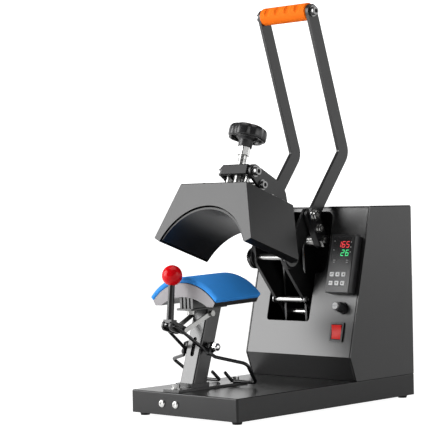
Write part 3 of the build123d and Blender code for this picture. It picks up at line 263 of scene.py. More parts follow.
# ---------------- finishes
def powder_coat(name, colour, grain, gloss):
    """Fine-textured powder coat: a dense pebble grain with faint clouds."""
    coat = Finish(name)
    pebble = coat.noise(1 / grain, detail=3)
    cloud = coat.noise(9, detail=4)
    tone = coat.step(pebble * 0.6 + cloud * 0.4, 0.32, 0.68)
    return coat.surface(
        Base_Color=coat.toned(tone, colour, 0.8, 1.22),
        Roughness=0.25 + pebble * 0.08 + cloud * 0.04,
        Normal=coat.bump(pebble, grain * 0.07, 0.4),
        Specular_IOR_Level=gloss,
    )


def satin_paint(name, colour, rough=0.34, gloss=0.5):
    """Smooth stoved paint with a little orange peel."""
    paint = Finish(name)
    peel = paint.noise(750, detail=1)
    cloud = paint.noise(25, detail=4)
    return paint.surface(
        Base_Color=paint.toned(cloud, colour, 0.85, 1.18),
        Roughness=rough - 0.03 + cloud * 0.06,
        Normal=paint.bump(peel, 0.00006, 0.4),
        Specular_IOR_Level=gloss,
    )


def plated(name, colour, rough, clouding=0.1):
    """Bright plating: mirror metal broken by fine rubbing marks and a faint clouding."""
    plate = Finish(name)
    rub = plate.noise(900, detail=3, stretch=(1, 0.25, 0.25))
    cloud = plate.noise(120, detail=3)
    return plate.surface(
        Base_Color=plate.toned(cloud, colour, 1 - clouding, 1 + clouding / 2),
        Metallic=1.0,
        Roughness=rough * 0.75 + rub * rough * 0.5,
        Normal=plate.bump(rub, 0.00001, 0.5),
    )


def turned_steel(name, colour, axis, rough):
    """Lathe-turned steel, with fine rings square to its axis."""
    steel = Finish(name)
    rings = steel.node(
        "ShaderNodeTexNoise", {"noise_dimensions": "1D"}, {"W": steel.along(axis), "Scale": 3200, "Detail": 2}
    )
    stain = steel.noise(60, detail=4)
    return steel.surface(
        Base_Color=steel.toned(rings * 0.5 + stain * 0.5, colour, 0.82, 1.1),
        Metallic=1.0,
        Roughness=rough + rings * 0.12,
        Normal=steel.bump(rings, 0.00002, 0.6),
    )


def cast_metal(name, bare, painted, along, half_length):
    """A cast body painted black all round, with its two sawn ends left bare."""
    cast = Finish(name)
    grain = cast.noise(1400, detail=3)
    cloud = cast.noise(35, detail=4)
    middle, axis = along
    out = cast.along(axis) - Vector(axis).dot(middle)
    end = cast.step(out * out, (half_length - 0.0009) ** 2, (half_length - 0.0005) ** 2)
    return cast.surface(
        Base_Color=cast.mix(end, painted, cast.toned(cloud * 0.6 + grain * 0.4, bare, 0.82, 1.16)),
        Metallic=end * 0.25,
        Roughness=0.36 + end * 0.16 + grain * 0.1,
        Normal=cast.bump(grain, 0.00006, 0.5),
    )


def washer_and_nut(name, dark, bright, seat):
    """Blackened washers under bright nuts; the nuts stand further out across the press than a seat."""
    pair = Finish(name)
    out = pair.along((1, 0, 0)) - MECH_X * MM
    nut = pair.step(out * out, ((seat - 0.2) * MM) ** 2, ((seat + 0.2) * MM) ** 2)
    rub = pair.noise(900, detail=3)
    return pair.surface(
        Base_Color=pair.mix(nut, dark, pair.toned(rub, bright, 0.85, 1.1)),
        Metallic=nut,
        Roughness=0.34 - nut * 0.12 + rub * 0.08,
        Normal=pair.bump(rub, 0.00001, 0.5),
    )


def moulded(name, colour, rough, grain=0.0005, depth=0.2):
    """Moulded plastic with a spark-eroded grain."""
    plastic = Finish(name)
    pit = plastic.noise(1 / grain, detail=2)
    cloud = plastic.noise(30, detail=2)
    return plastic.surface(
        Base_Color=plastic.toned(cloud * 0.6 + pit * 0.4, colour, 0.88, 1.12),
        Roughness=rough - 0.04 + pit * 0.08,
        Normal=plastic.bump(pit, grain * depth, 0.5),
    )


def glossy(name, colour, rough=0.1, coat=0.06):
    """Polished plastic under a clear skin."""
    plastic = Finish(name)
    swirl = plastic.noise(60, detail=3)
    return plastic.surface(
        Base_Color=plastic.toned(swirl, colour, 0.9, 1.1),
        Roughness=rough + swirl * 0.05,
        Coat_Weight=coat,
        Coat_Roughness=0.04,
        Specular_IOR_Level=0.14,
    )


def rubber(name, colour, rough=0.55, gloss=0.22):
    """Soft-touch rubber: fine matt skin with a few dusty patches."""
    skin = Finish(name)
    pit = skin.noise(1800, detail=2)
    dust = skin.noise(45, detail=4)
    return skin.surface(
        Base_Color=skin.toned(dust * 0.7 + pit * 0.3, colour, 0.86, 1.14),
        Roughness=rough - 0.06 + dust * 0.12,
        Normal=skin.bump(pit, 0.00008, 0.5),
        Specular_IOR_Level=gloss,
    )


def foam(name, colour):
    """Moulded silicone foam: a fine cell skin, with scattered open pores."""
    pad = Finish(name)
    cell = pad.cells(1100)
    pore = pad.step(pad.cells(260), 0.05, 0.2)
    cloud = pad.noise(40, detail=4)
    return pad.surface(
        Base_Color=pad.toned(cloud * 0.5 + cell * 0.35 + pore * 0.2, colour, 0.8, 1.15),
        Roughness=0.72 + cell * 0.15,
        Normal=pad.bump(cell * 0.5 + pore, 0.00018, 0.6),
    )


def wool(name, colour):
    """Ceramic fibre blanket: matted fibres."""
    felt = Finish(name)
    fibre = felt.noise(1500, detail=5, stretch=(1, 0.2, 0.6))
    return felt.surface(
        Base_Color=felt.toned(fibre, colour, 0.6, 1.1), Roughness=0.95, Normal=felt.bump(fibre, 0.0004, 0.8)
    )


def lamp(name, colour, strength):
    """A lit display segment."""
    glow = Finish(name)
    haze = glow.noise(400, detail=1)
    return glow.surface(
        Base_Color=colour,
        Roughness=0.3,
        Emission_Color=glow.toned(haze, colour, 0.85, 1.1),
        Emission_Strength=strength,
    )


# ---------------- pieces
def dress(material, *nodes):
    """Gives CAD nodes their finish."""
    for node in nodes:
        mesh = NODES[node].data
        mesh.materials.clear()
        mesh.materials.append(material)


def placed(name, data):
    """An object in the scene, at the origin."""
    thing = bpy.data.objects.new(name, data)
    bpy.context.scene.collection.objects.link(thing)
    return thing


def make_piece(name, mesh, material, body, smooth=35.0):
    """A finished piece at the origin, riding on a body."""
    mesh.name = name
    mesh.materials.clear()
    mesh.materials.append(material)
    for face in mesh.polygons:
        face.use_smooth = True
        face.material_index = 0
    if not mesh.has_custom_normals:
        mesh.set_sharp_from_angle(angle=math.radians(smooth))
    piece = placed(name, mesh)
    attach(piece, body)
    return piece


def stand_in(node, name, mesh, material, smooth=35.0):
    """A finished piece that stands for a CAD node, on the node's body; the node is hidden."""
    piece = make_piece(name, mesh, material, BODY_OF[node], smooth)
    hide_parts(node)
    return piece


def settled(maker):
    """The mesh that an object's modifiers give; the object is removed."""
    graph = bpy.context.evaluated_depsgraph_get()
    graph.update()
    mesh = bpy.data.meshes.new_from_object(maker.evaluated_get(graph))
    bpy.data.objects.remove(maker)
    return mesh


def closed_mesh(shape):
    """A bmesh made a mesh, with its faces turned outwards."""
    bmesh.ops.remove_doubles(shape, verts=shape.verts, dist=1e-7)
    bmesh.ops.recalc_face_normals(shape, faces=shape.faces)
    mesh = bpy.data.meshes.new("shape")
    shape.to_mesh(mesh)
    shape.free()
    return mesh


SOFT_EDGE_LIMIT = 38.0
FLAT_LIMIT = 0.4
WELD = 2e-6


def merged_copy(node):
    """A copy of a CAD node's mesh, with its loose triangles joined."""
    shape = bmesh.new()
    shape.from_mesh(NODES[node].data)
    bmesh.ops.remove_doubles(shape, verts=shape.verts, dist=WELD)
    return shape


def softened(node, name, edge, material, cutter=None):
    """Stands for a CAD node as a copy with its sharp edges rolled over; a cutter may open it first."""
    shape = merged_copy(node)
    bmesh.ops.dissolve_limit(
        shape, angle_limit=math.radians(FLAT_LIMIT), verts=shape.verts, edges=shape.edges,
        use_dissolve_boundaries=False,
    )
    for face in shape.faces:
        face.smooth = True
    mesh = bpy.data.meshes.new(name)
    shape.to_mesh(mesh)
    shape.free()
    mesh.set_sharp_from_angle(angle=math.radians(SOFT_EDGE_LIMIT))
    maker = placed("maker", mesh)
    if cutter:
        opened = maker.modifiers.new("opening", "BOOLEAN")
        opened.operation, opened.solver, opened.object = "DIFFERENCE", "EXACT", cutter
    roll = maker.modifiers.new("edges", "BEVEL")
    roll.width = edge * MM
    roll.segments = 2
    roll.limit_method = "ANGLE"
    roll.angle_limit = math.radians(SOFT_EDGE_LIMIT)
    roll.use_clamp_overlap = True
    evened = maker.modifiers.new("normals", "WEIGHTED_NORMAL")
    evened.weight = 100
    evened.keep_sharp = True
    mesh = settled(maker)
    if cutter:
        bpy.data.objects.remove(cutter)
    stand_in(node, name, mesh, material, smooth=40)


def skin(shape, rings):
    """Joins each ring of vertices to the next."""
    for low, high in zip(rings, rings[1:]):
        for index in range(len(low)):
            after = (index + 1) % len(low)
            shape.faces.new((low[index], low[after], high[after], high[index]))


def solid(shape, rings):
    """Joins each ring of vertices to the next and closes both ends."""
    skin(shape, rings)
    shape.faces.new(rings[0])
    shape.faces.new(reversed(rings[-1]))


def prism(shape, outline, near, far, place):
    """Adds a closed prism to a bmesh: an (x, z) outline between two depths along local Y."""
    rings = [[shape.verts.new(place @ Vector((x, depth, z))) for x, z in outline] for depth in (near, far)]
    solid(shape, rings)


ROUND_STEPS = 12


def stadium(first, second, half):
    """The outline of a bar with round ends about two places: the first end's points, then the second's."""
    first, second = Vector(first), Vector(second)
    run = (second - first).normalized() * half
    across = Vector((-run.y, run.x))
    turns = [math.pi * step / ROUND_STEPS for step in range(ROUND_STEPS + 1)]
    arc = [across * math.cos(turn) + run * math.sin(turn) for turn in turns]
    return [first - spot for spot in arc] + [second + spot for spot in arc]


SEGMENTS = {
    "0": "abcdef", "1": "bc", "2": "abged", "3": "abgcd", "4": "fgbc",
    "5": "afgcd", "6": "afgedc", "7": "abc", "8": "abcdefg", "9": "abcdfg",
}


def digit_outlines(figure, size, slant, weight):
    """The outlines of a seven-segment figure's bars, about its lower left corner."""
    width, height = size
    half = height / 2
    gap = weight * 0.12
    spans = {
        "a": ((0, height), (width, height)), "g": ((0, half), (width, half)), "d": ((0, 0), (width, 0)),
        "f": ((0, half), (0, height)), "b": ((width, half), (width, height)),
        "e": ((0, 0), (0, half)), "c": ((width, 0), (width, half)),
    }
    outlines = []
    for bar in SEGMENTS[figure]:
        start, end = (Vector(point) for point in spans[bar])
        along = (end - start).normalized()
        across = Vector((-along.y, along.x)) * weight / 2
        start, end = start + along * gap, end - along * gap
        tip = along * weight / 2
        corners = [
            start, start + tip - across, end - tip - across, end, end - tip + across, start + tip + across,
        ]
        outlines.append([(corner.x + slant * corner.y, corner.y) for corner in corners])
    return outlines


# ---------------- what a user may change
def tint(name, description, default):
    """A colour that a user may change."""
    return FloatVectorProperty(
        name=name, description=description, default=default, subtype="COLOR", min=0, max=1
    )


def millimetres(name, description, default, low=0.0, high=1000.0):
    """A length that a user may change, in millimetres."""
    return FloatProperty(
        name=name, description=f"{description}, in millimetres", default=default, min=low, max=high
    )


class CapPressColours(bpy.types.PropertyGroup):
    """Colours of the press."""

    casing: tint("Casing", "Powder coat of the base, housing and head", (0.006, 0.006, 0.0064))
    linkage: tint("Linkage", "Paint of the arms, links and handle bars", (0.008, 0.008, 0.0084))
    pad: tint("Pad", "Foam of the platen's pad", (0.016, 0.24, 0.7))
    grip: tint("Grip", "Rubber of the handle grip", (0.88, 0.16, 0.006))
    ball: tint("Ball", "Plastic of the tension lever's ball", (0.62, 0.002, 0.006))
    rocker: tint("Rocker", "Plastic of the power switch", (0.75, 0.014, 0.01))
    upper_figures: tint("Upper figures", "Light of the display's upper row", (1.0, 0.06, 0.07))
    lower_figures: tint("Lower figures", "Light of the display's lower row", (0.08, 0.9, 0.3))


class CapPressSizes(bpy.types.PropertyGroup):
    """Sizes of the fine pieces."""

    coat_grain: FloatProperty(
        name="Coat grain", description="Pebble size of the powder coat", default=0.0005,
        min=0.0001, max=0.003, unit="LENGTH",
    )
    sheet_edge: millimetres("Sheet edge", "Roll of the casing's edges", 0.8, 0.1, 0.9)
    plate_edge: millimetres("Plate edge", "Roll of the plates' edges", 0.8, 0.1, 1.5)
    pad_edge: millimetres("Pad edge", "Rounding of the foam pad's edges", 1.6, 0.2, 3.0)
    thread_pitch: millimetres("Thread pitch", "Pitch of the drawn thread, not of the joint", 1.25, 1.0, 4.0)
    thread_depth: millimetres("Thread depth", "Depth of the pressure screw's thread", 0.35, 0.2, 1.5)
    knob_notch: millimetres("Knob notch", "Depth of the notches between the knob's lobes", 2.6, 0.0, 6.0)
    upper_reading: StringProperty(name="Upper reading", description="Figures in the upper row", default="165")
    lower_reading: StringProperty(name="Lower reading", description="Figures in the lower row", default="26")


class CapPressStage(bpy.types.PropertyGroup):
    """Camera and lights."""

    lens: FloatProperty(name="Lens", description="Focal length", default=131.955, unit="CAMERA")
    azimuth: FloatProperty(name="Azimuth", description="Angle round the press, in degrees", default=43.3115)
    elevation: FloatProperty(name="Elevation", description="Angle above level, in degrees", default=0.0972)
    roll: FloatProperty(name="Roll", description="Camera roll, in degrees", default=-1.0416)
    stand: FloatVectorProperty(
        name="Stand", description="Camera position", subtype="XYZ", unit="LENGTH",
        default=(1.678908, -1.921263, 0.314646),
    )
    sky: FloatProperty(name="Sky", description="Level of light from all round", default=0.22, min=0)
    key_level: FloatProperty(name="Key", description="Power of the front left panel", default=67.0, min=0)
    top_level: FloatProperty(name="Top", description="Power of the top panel", default=14.0, min=0)
    side_level: FloatProperty(name="Side", description="Power of the right side panel", default=6.0, min=0)


# ---------------- casing and frame
SHEET_GLOSS = {"base_tray": 0.38, "housing_shell": 0.6, "front_panel": 0.75, "head_cover": 0.42}


class CAPPRESS_OT_casing(bpy.types.Operator):
    """Coats the base, the housing, its front panel and the head's cover"""

    bl_idname = "cappress.casing"
    bl_label = "Casing"

    def execute(self, context):
        colours, sizes = context.scene.cap_press_colours, context.scene.cap_press_sizes
        for node, gloss in SHEET_GLOSS.items():
            coat = powder_coat(f"{node}_coat", colours.casing, sizes.coat_grain, gloss)
            softened(node, f"{node}_sheet", sizes.sheet_edge, coat)
        dress(rubber("foot_rubber", (0.02, 0.02, 0.02)), "rubber_feet")
        dress(moulded("inlet_plastic", (0.015, 0.015, 0.016), 0.4), "power_inlet")
        return {"FINISHED"}


class CAPPRESS_OT_linkage(bpy.types.Operator):
    """Paints the arms, links, cranks, handle bars, uprights and front bar, and finishes their rods"""

    bl_idname = "cappress.linkage"
    bl_label = "Linkage"

    def execute(self, context):
        colours, sizes = context.scene.cap_press_colours, context.scene.cap_press_sizes
        paint = satin_paint("linkage_paint", colours.linkage)
        for node in (
            "arm_left", "arm_right", "toggle_links", "crank_plates", "handle_bar_left",
            "handle_bar_right", "upright_left", "upright_right",
        ):
            softened(node, f"{node}_plate", sizes.plate_edge, paint)
        dull = satin_paint("bar_paint", colours.linkage, 0.4, 0.2)
        softened("front_bar", "front_bar_block", sizes.plate_edge, dull)
        steel = turned_steel("rod_steel", (0.5, 0.5, 0.49), (1, 0, 0), 0.25)
        dress(steel, "frame_tie_rods", "arm_pivot_shaft", "arm_spacer_rods", "link_shaft")
        return {"FINISHED"}


class CAPPRESS_OT_fasteners(bpy.types.Operator):
    """Finishes the screws, bolts, pins, nuts and washers"""

    bl_idname = "cappress.fasteners"
    bl_label = "Fasteners"

    def execute(self, context):
        dress(plated("bright_screw", (0.7, 0.7, 0.69), 0.16), "case_screws")
        bright = plated("bolt_plate", (0.5, 0.5, 0.49), 0.22, 0.16)
        dress(bright, "frame_bolts", "handle_bolts", "crank_pins")
        dress(plated("dull_bolt_plate", (0.26, 0.26, 0.26), 0.3, 0.16), "arm_bolts", "grip_bolt")
        zinc = plated("zinc_plate", (0.42, 0.42, 0.41), 0.28, 0.2)
        dress(zinc, "crank_shaft", "shoe_studs", "platen_fasteners")
        nuts = washer_and_nut("washer_and_nut", (0.012, 0.012, 0.012), (0.55, 0.55, 0.54), NUT_SEAT)
        dress(nuts, "link_shaft_nuts")
        dress(plated("axle_chrome", (0.8, 0.8, 0.8), 0.08), "pivot_axle")
        return {"FINISHED"}


# ---------------- head and pressure screw
KNOB_LOBES = 7
# radius at a lobe's crest, height above the head's corners, share of the notches' depth
KNOB_HUB = ((10.4, 169.0, 0), (11.4, 170.0, 0), (11.6, 179.5, 0), (13.0, 182.4, 0), (17.0, 184.4, 0))
KNOB_HOLLOW = ((18.2, 188.0, 0), (25.0, 188.6, 0.6), (26.0, 184.6, 0.8), (27.0, 183.3, 0.9))
KNOB_RIM = (
    (29.6, 183.2, 1), (31.0, 184.4, 1), (31.5, 187.0, 1),
    (31.7, 192.0, 1), (31.4, 197.0, 1), (30.6, 200.0, 1),
)
KNOB_CROWN = ((29.0, 202.2, 0.9), (26.0, 203.8, 0.6), (20.0, 205.2, 0.25), (11.0, 206.2, 0.05))
KNOB_CROWN_TIP = 0.3


def knob_mesh(notch, steps=140):
    """A lobed hand knob over a hollow rim and a round hub, in millimetres."""
    shape = bmesh.new()
    rings = []
    for crest, height, share in (*KNOB_HUB, *KNOB_HOLLOW, *KNOB_RIM, *KNOB_CROWN):
        ring = []
        for step in range(steps):
            angle = 2 * math.pi * step / steps
            radius = crest - share * notch * (0.5 - 0.5 * math.cos(KNOB_LOBES * angle)) ** 3
            ring.append(shape.verts.new((radius * math.sin(angle), radius * math.cos(angle), height)))
        rings.append(ring)
    skin(shape, rings)
    for ring, rise in ((rings[0], 0.0), (rings[-1], KNOB_CROWN_TIP)):
        tip = shape.verts.new((0, 0, ring[0].co.z + rise))
        for index in range(steps):
            shape.faces.new((ring[index], ring[(index + 1) % steps], tip))
    return shape


def arch_mesh(profile, half_angle, drop, steps=96):
    """A (depth, radius) profile swept round an arch whose centre lies below the origin, in millimetres."""
    shape = bmesh.new()
    rings = []
    for step in range(steps + 1):
        angle = math.radians(half_angle * (2 * step / steps - 1))
        rings.append([
            shape.verts.new((radius * math.sin(angle), depth, radius * math.cos(angle) - drop))
            for depth, radius in profile
        ])
    solid(shape, rings)
    return shape


def spindle_tree():
    """Geometry Nodes that wind a thread round a core, upwards from the origin."""
    tree = bpy.data.node_groups.new("threaded_spindle", "GeometryNodeTree")
    tree.is_modifier = True
    sizes = {"Length": 0.075, "Pitch": 0.002, "Crest radius": 0.007, "Depth": 0.0009}
    for label, value in sizes.items():
        socket = tree.interface.new_socket(label, in_out="INPUT", socket_type="NodeSocketFloat")
        socket.default_value = value
    tree.interface.new_socket("Material", in_out="INPUT", socket_type="NodeSocketMaterial")
    tree.interface.new_socket("Geometry", in_out="OUTPUT", socket_type="NodeSocketGeometry")
    screw = Nodes(tree)
    length, pitch, crest, depth = (screw.node("NodeGroupInput", output=label) for label in sizes)

    def lifted(geometry, rise):
        shift = screw.node("ShaderNodeCombineXYZ", {}, {"Z": rise})
        return screw.node("GeometryNodeTransform", {}, {"Geometry": geometry, "Translation": shift})

    turns = length / pitch - 1.0
    ridge_radius = depth * 0.75
    wind_radius = crest - ridge_radius
    helix = screw.node("GeometryNodeCurveSpiral", {}, {
        "Resolution": 24, "Rotations": turns, "Start Radius": wind_radius, "End Radius": wind_radius,
        "Height": turns * pitch,
    })
    ridge = screw.node(
        "GeometryNodeCurvePrimitiveCircle", {"mode": "RADIUS"}, {"Resolution": 4, "Radius": ridge_radius}
    )
    thread = screw.node("GeometryNodeCurveToMesh", {}, {
        "Curve": lifted(helix, pitch * 0.5), "Profile Curve": ridge, "Fill Caps": True,
    })
    core = screw.node(
        "GeometryNodeMeshCylinder", {}, {"Vertices": 48, "Radius": crest - depth, "Depth": length}
    )
    both = screw.node("GeometryNodeJoinGeometry", {}, {0: [thread, lifted(core, length * 0.5)]})
    real = screw.node("GeometryNodeRealizeInstances", {}, {0: both})
    material = screw.node("NodeGroupInput", output="Material")
    dressed = screw.node("GeometryNodeSetMaterial", {}, {"Geometry": real, "Material": material})
    screw.node("NodeGroupOutput", {}, {0: dressed})
    return tree


def grown(tree, **inputs):
    """The mesh that a Geometry Nodes tree gives for its named inputs."""
    maker = placed("maker", bpy.data.meshes.new("maker"))
    modifier = maker.modifiers.new("grow", "NODES")
    modifier.node_group = tree
    for item in tree.interface.items_tree:
        if item.item_type == "SOCKET" and item.in_out == "INPUT" and item.name in inputs:
            modifier[item.identifier] = inputs[item.name]
    return settled(maker)


class CAPPRESS_OT_head(bpy.types.Operator):
    """Makes the heated shoe, the pressure screw and its star knob, and finishes what is round them"""

    bl_idname = "cappress.head"
    bl_label = "Head"

    spindle_low: millimetres("Spindle foot", "Above the head's corners", 94.1)
    spindle_high: millimetres("Spindle top", "Above the head's corners", 169.0)
    rim: millimetres("Rim", "Thickness of the shoe's face", 3.2)
    setback: millimetres("Setback", "From the face's ends to the body's", 9.0)

    def shoe(self):
        """The heated shoe, whose thin face runs on past its body at both ends."""
        front, back = SHOE_ENDS
        inner, outer = SHOE_RADII
        step, setback = inner + self.rim, self.setback
        profile = (
            (front, inner), (back, inner), (back, step), (back - setback, step), (back - setback, outer),
            (front + setback, outer), (front + setback, step), (front, step),
        )
        shape = arch_mesh(profile, SHOE_HALF_ANGLE, SHOE_DROP)
        shape.transform(head_place())
        coating = satin_paint("shoe_coating", (0.012, 0.012, 0.0125), 0.32, 0.3)
        stand_in("heating_shoe", "stepped_shoe", closed_mesh(shape), coating)

    def knob(self, notch):
        """The lobed hand knob on the pressure screw."""
        shape = knob_mesh(notch)
        shape.transform(head_place() @ Matrix.Translation((0, SCREW_DEPTH, 0)))
        plastic = moulded("knob_plastic", (0.012, 0.012, 0.013), 0.3)
        stand_in("star_knob", "lobed_knob", closed_mesh(shape), plastic, smooth=50)

    def execute(self, context):
        sizes = context.scene.cap_press_sizes
        axis = tuple(head_place().to_3x3().normalized() @ Vector((0, 0, 1)))
        self.shoe()
        self.knob(sizes.knob_notch)
        dress(wool("blanket_wool", (0.6, 0.57, 0.5)), "insulation_blanket")
        steel = turned_steel("screw_steel", (0.55, 0.55, 0.54), axis, 0.22)
        dress(steel, "guide_rods")
        dress(satin_paint("collar_black", (0.015, 0.015, 0.016), 0.3), "thrust_collar")
        dress(plated("lock_nut_zinc", (0.66, 0.66, 0.65), 0.22), "spindle_lock_nut")
        mesh = grown(
            spindle_tree(),
            Length=(self.spindle_high - self.spindle_low) * MM,
            Pitch=sizes.thread_pitch * MM,
            Depth=sizes.thread_depth * MM,
            Material=steel,
        )
        foot = Matrix.Translation((0, SCREW_DEPTH, self.spindle_low))
        mesh.transform(head_place() @ foot @ Matrix.Scale(1 / MM, 4))
        stand_in("pressure_spindle", "threaded_spindle", mesh, steel)
        return {"FINISHED"}


# ---------------- handle
class CAPPRESS_OT_handle(bpy.types.Operator):
    """Finishes the finger grip between the handle bars"""

    bl_idname = "cappress.handle"
    bl_label = "Handle"

    def execute(self, context):
        dress(rubber("grip_rubber", context.scene.cap_press_colours.grip, 0.7, 0.1), "grip")
        return {"FINISHED"}


# ---------------- platen
def pad_mesh(inner, outer, half_angle, length, edge):
    """A foam arch with rounded edges, about its arc centre, in millimetres."""
    across, along, corner = 72, 40, 5
    corner_share = 0.9
    middle = (inner + outer) / 2
    half_thick = (outer - inner) / 2

    def rounded(u, v, half_u, half_v, radius):
        """Pulls a point of a box surface in to a rounded edge."""
        cu = max(-half_u + radius, min(half_u - radius, u))
        cv = max(-half_v + radius, min(half_v - radius, v))
        du, dv = u - cu, v - cv
        reach = math.hypot(du, dv)
        if reach < 1e-9:
            return u, v
        return cu + du / reach * radius, cv + dv / reach * radius

    outline = []
    half_arc = math.radians(half_angle) * middle
    box = ((-half_arc, half_thick), (half_arc, half_thick), (half_arc, -half_thick), (-half_arc, -half_thick))
    for start, end, steps in zip(box, (*box[1:], box[0]), (across, corner, across, corner)):
        for step in range(steps):
            outline.append([near + (far - near) * step / steps for near, far in zip(start, end)])
    shape = bmesh.new()
    rings = []
    for row in range(along + 1):
        place_y = -length / 2 + length * row / along
        end = length / 2 - abs(place_y)
        inset = edge - math.sqrt(max(edge**2 - max(edge - end, 0) ** 2, 0)) if end < edge else 0
        ring = []
        for arc, thick in outline:
            arc_in, thick_in = arc * (1 - inset / half_arc), thick * (1 - inset / half_thick)
            run, rise = rounded(arc_in, thick_in, half_arc - inset, half_thick - inset, edge * corner_share)
            angle = run / middle
            radius = middle + rise
            ring.append(shape.verts.new((radius * math.sin(angle), place_y, radius * math.cos(angle))))
        rings.append(ring)
    count = len(outline)
    skin(shape, rings)
    for ring in (rings[0], rings[-1]):
        for index in range(across):
            opposite = across + corner + across - index
            shape.faces.new((ring[index], ring[index + 1], ring[opposite - 1], ring[opposite]))
        shape.faces.new([ring[across + step] for step in range(corner + 1)])
        shape.faces.new([ring[(2 * across + corner + step) % count] for step in range(corner + 1)])
    return shape


class CAPPRESS_OT_platen(bpy.types.Operator):
    """Makes the foam pad, the ribbed clamp and the struts, and finishes the platen, its post and its foot"""

    bl_idname = "cappress.platen"
    bl_label = "Platen"

    inner_radius: millimetres("Inner radius", "Under the pad", 90.1)
    outer_radius: millimetres("Outer radius", "Over the pad", 99.2)
    half_angle: FloatProperty(name="Half angle", description="Of the pad's arch, degrees", default=48.0)
    strut_width: millimetres("Strut width", "Of each strut", 6.8)
    strut_thick: millimetres("Strut thickness", "Of each strut", 2.4)

    def execute(self, context):
        colours, sizes = context.scene.cap_press_colours, context.scene.cap_press_sizes
        blue = foam("pad_foam", colours.pad)
        shape = pad_mesh(self.inner_radius, self.outer_radius, self.half_angle, PLATEN_LENGTH, sizes.pad_edge)
        shape.transform(platen_place())
        pad = stand_in("foam_pad", "pad_of_foam", closed_mesh(shape), blue, smooth=60)
        paint = satin_paint("post_paint", colours.linkage, 0.3, 0.9)
        for node in ("foot_bar", "mount_plate"):
            softened(node, f"{node}_plate", sizes.plate_edge, paint)
        softened("post", "slotted_post", POST_EDGE, paint, self.slot_cutter())
        place = platen_place()
        along = (place.translation, tuple((place.to_3x3() @ Vector((0, 1, 0))).normalized()))
        metal = cast_metal("platen_metal", (0.26, 0.25, 0.26), colours.linkage, along, PLATEN_LENGTH / 2 * MM)
        softened("platen_body", "platen_arch", PLATEN_EDGE, metal)
        self.clamp(paint)
        self.struts()
        return {"FINISHED"}

    def struts(self):
        """Two slim bars with round ends, from the post's bolt down to the lever's pin."""
        shape = bmesh.new()
        outline = stadium(STRUT_TOP, LEVER_PIVOT, self.strut_width / 2)
        xs = [x for x in STRUT_XS for _ in range(ROUND_STEPS + 1)]
        for side in (-1, 1):
            solid(shape, [
                [shape.verts.new((side * (x + out), y, z)) for x, (y, z) in zip(xs, outline)]
                for out in (0, self.strut_thick)
            ])
        shape.transform(Matrix.Scale(MM, 4) @ Matrix.Translation((MECH_X, 0, 0)))
        zinc = plated("strut_zinc", (0.5, 0.5, 0.49), 0.3, 0.2)
        stand_in("struts", "slim_struts", closed_mesh(shape), zinc)

    def slot_cutter(self):
        """A stadium-shaped block that opens the slot in the post's front wall."""
        low, high, width = POST_SLOT
        half = width / 2
        outline = stadium((0, low + half), (0, high - half), half)
        shape = bmesh.new()
        prism(shape, outline, AXLE_Y - CUTTER_REACH, AXLE_Y, placing(MECH_X, (0, 0), 0))
        return placed("slot_cutter", closed_mesh(shape))

    def clamp(self, paint):
        """The block under the platen, with upright ribs at its two ends."""
        shape = bmesh.new()
        steps = 8

        def block(left, right, near, far):
            """Adds a block that fits under the platen's arch."""
            xs = [left + (right - left) * step / steps for step in range(steps + 1)]
            roof = [(x, math.sqrt(ARCH_RADIUS**2 - x * x) - ARCH_DROP) for x in xs]
            prism(shape, [(right, CLAMP_FOOT), (left, CLAMP_FOOT), *roof], near, far, platen_place())

        half, end = CLAMP_HALF_WIDTH, PLATEN_LENGTH / 2 - CLAMP_INSET
        foot = end - CLAMP_RIB_DEPTH
        block(-half, half, -foot, foot)
        for rib in range(CLAMP_RIBS):
            left = -half + rib * (2 * half - CLAMP_RIB_WIDTH) / (CLAMP_RIBS - 1)
            block(left, left + CLAMP_RIB_WIDTH, -end, -foot + CLAMP_RIB_SUNK)
            block(left, left + CLAMP_RIB_WIDTH, foot - CLAMP_RIB_SUNK, end)
        stand_in("clamp_block", "ribbed_clamp", closed_mesh(shape), paint)


class CAPPRESS_OT_tension(bpy.types.Operator):
    """Finishes the tension lever and its ball, and coats the wire bail"""

    bl_idname = "cappress.tension"
    bl_label = "Tension lever"

    wire_skin: millimetres("Wire skin", "Thickness of the wires' coating", 0.4)

    def execute(self, context):
        colours = context.scene.cap_press_colours
        dress(satin_paint("lever_paint", colours.linkage, 0.3), "tension_lever")
        wires = merged_copy("bail_wires")
        wires.normal_update()
        for vertex in wires.verts:
            y, z = vertex.co.y / MM, vertex.co.z / MM
            if not any(math.hypot(y - bare_y, z - bare_z) <= reach for bare_y, bare_z, reach in BARE_WIRE):
                vertex.co += vertex.normal * self.wire_skin * MM
        paint = satin_paint("wire_paint", (0.012, 0.012, 0.013), 0.28)
        stand_in("bail_wires", "coated_bail", closed_mesh(wires), paint)
        dress(glossy("ball_plastic", colours.ball), "ball_knob")
        return {"FINISHED"}


# ---------------- controls
# left edge, foot, width and height of each pale mark, in the panel's plane
DISPLAY_MARKS = (
    (62.6, 185.6, 2.0, 1.4), (62.9, 170.9, 1.6, 1.4), (97.0, 183.6, 1.6, 2.2), (97.0, 175.4, 1.6, 2.2),
    (97.0, 167.2, 1.6, 2.2), (65.4, 154.4, 4.4, 0.9), (65.4, 151.0, 3.4, 0.9), (91.6, 154.4, 4.6, 0.9),
    (91.8, 151.0, 4.2, 0.9),
)
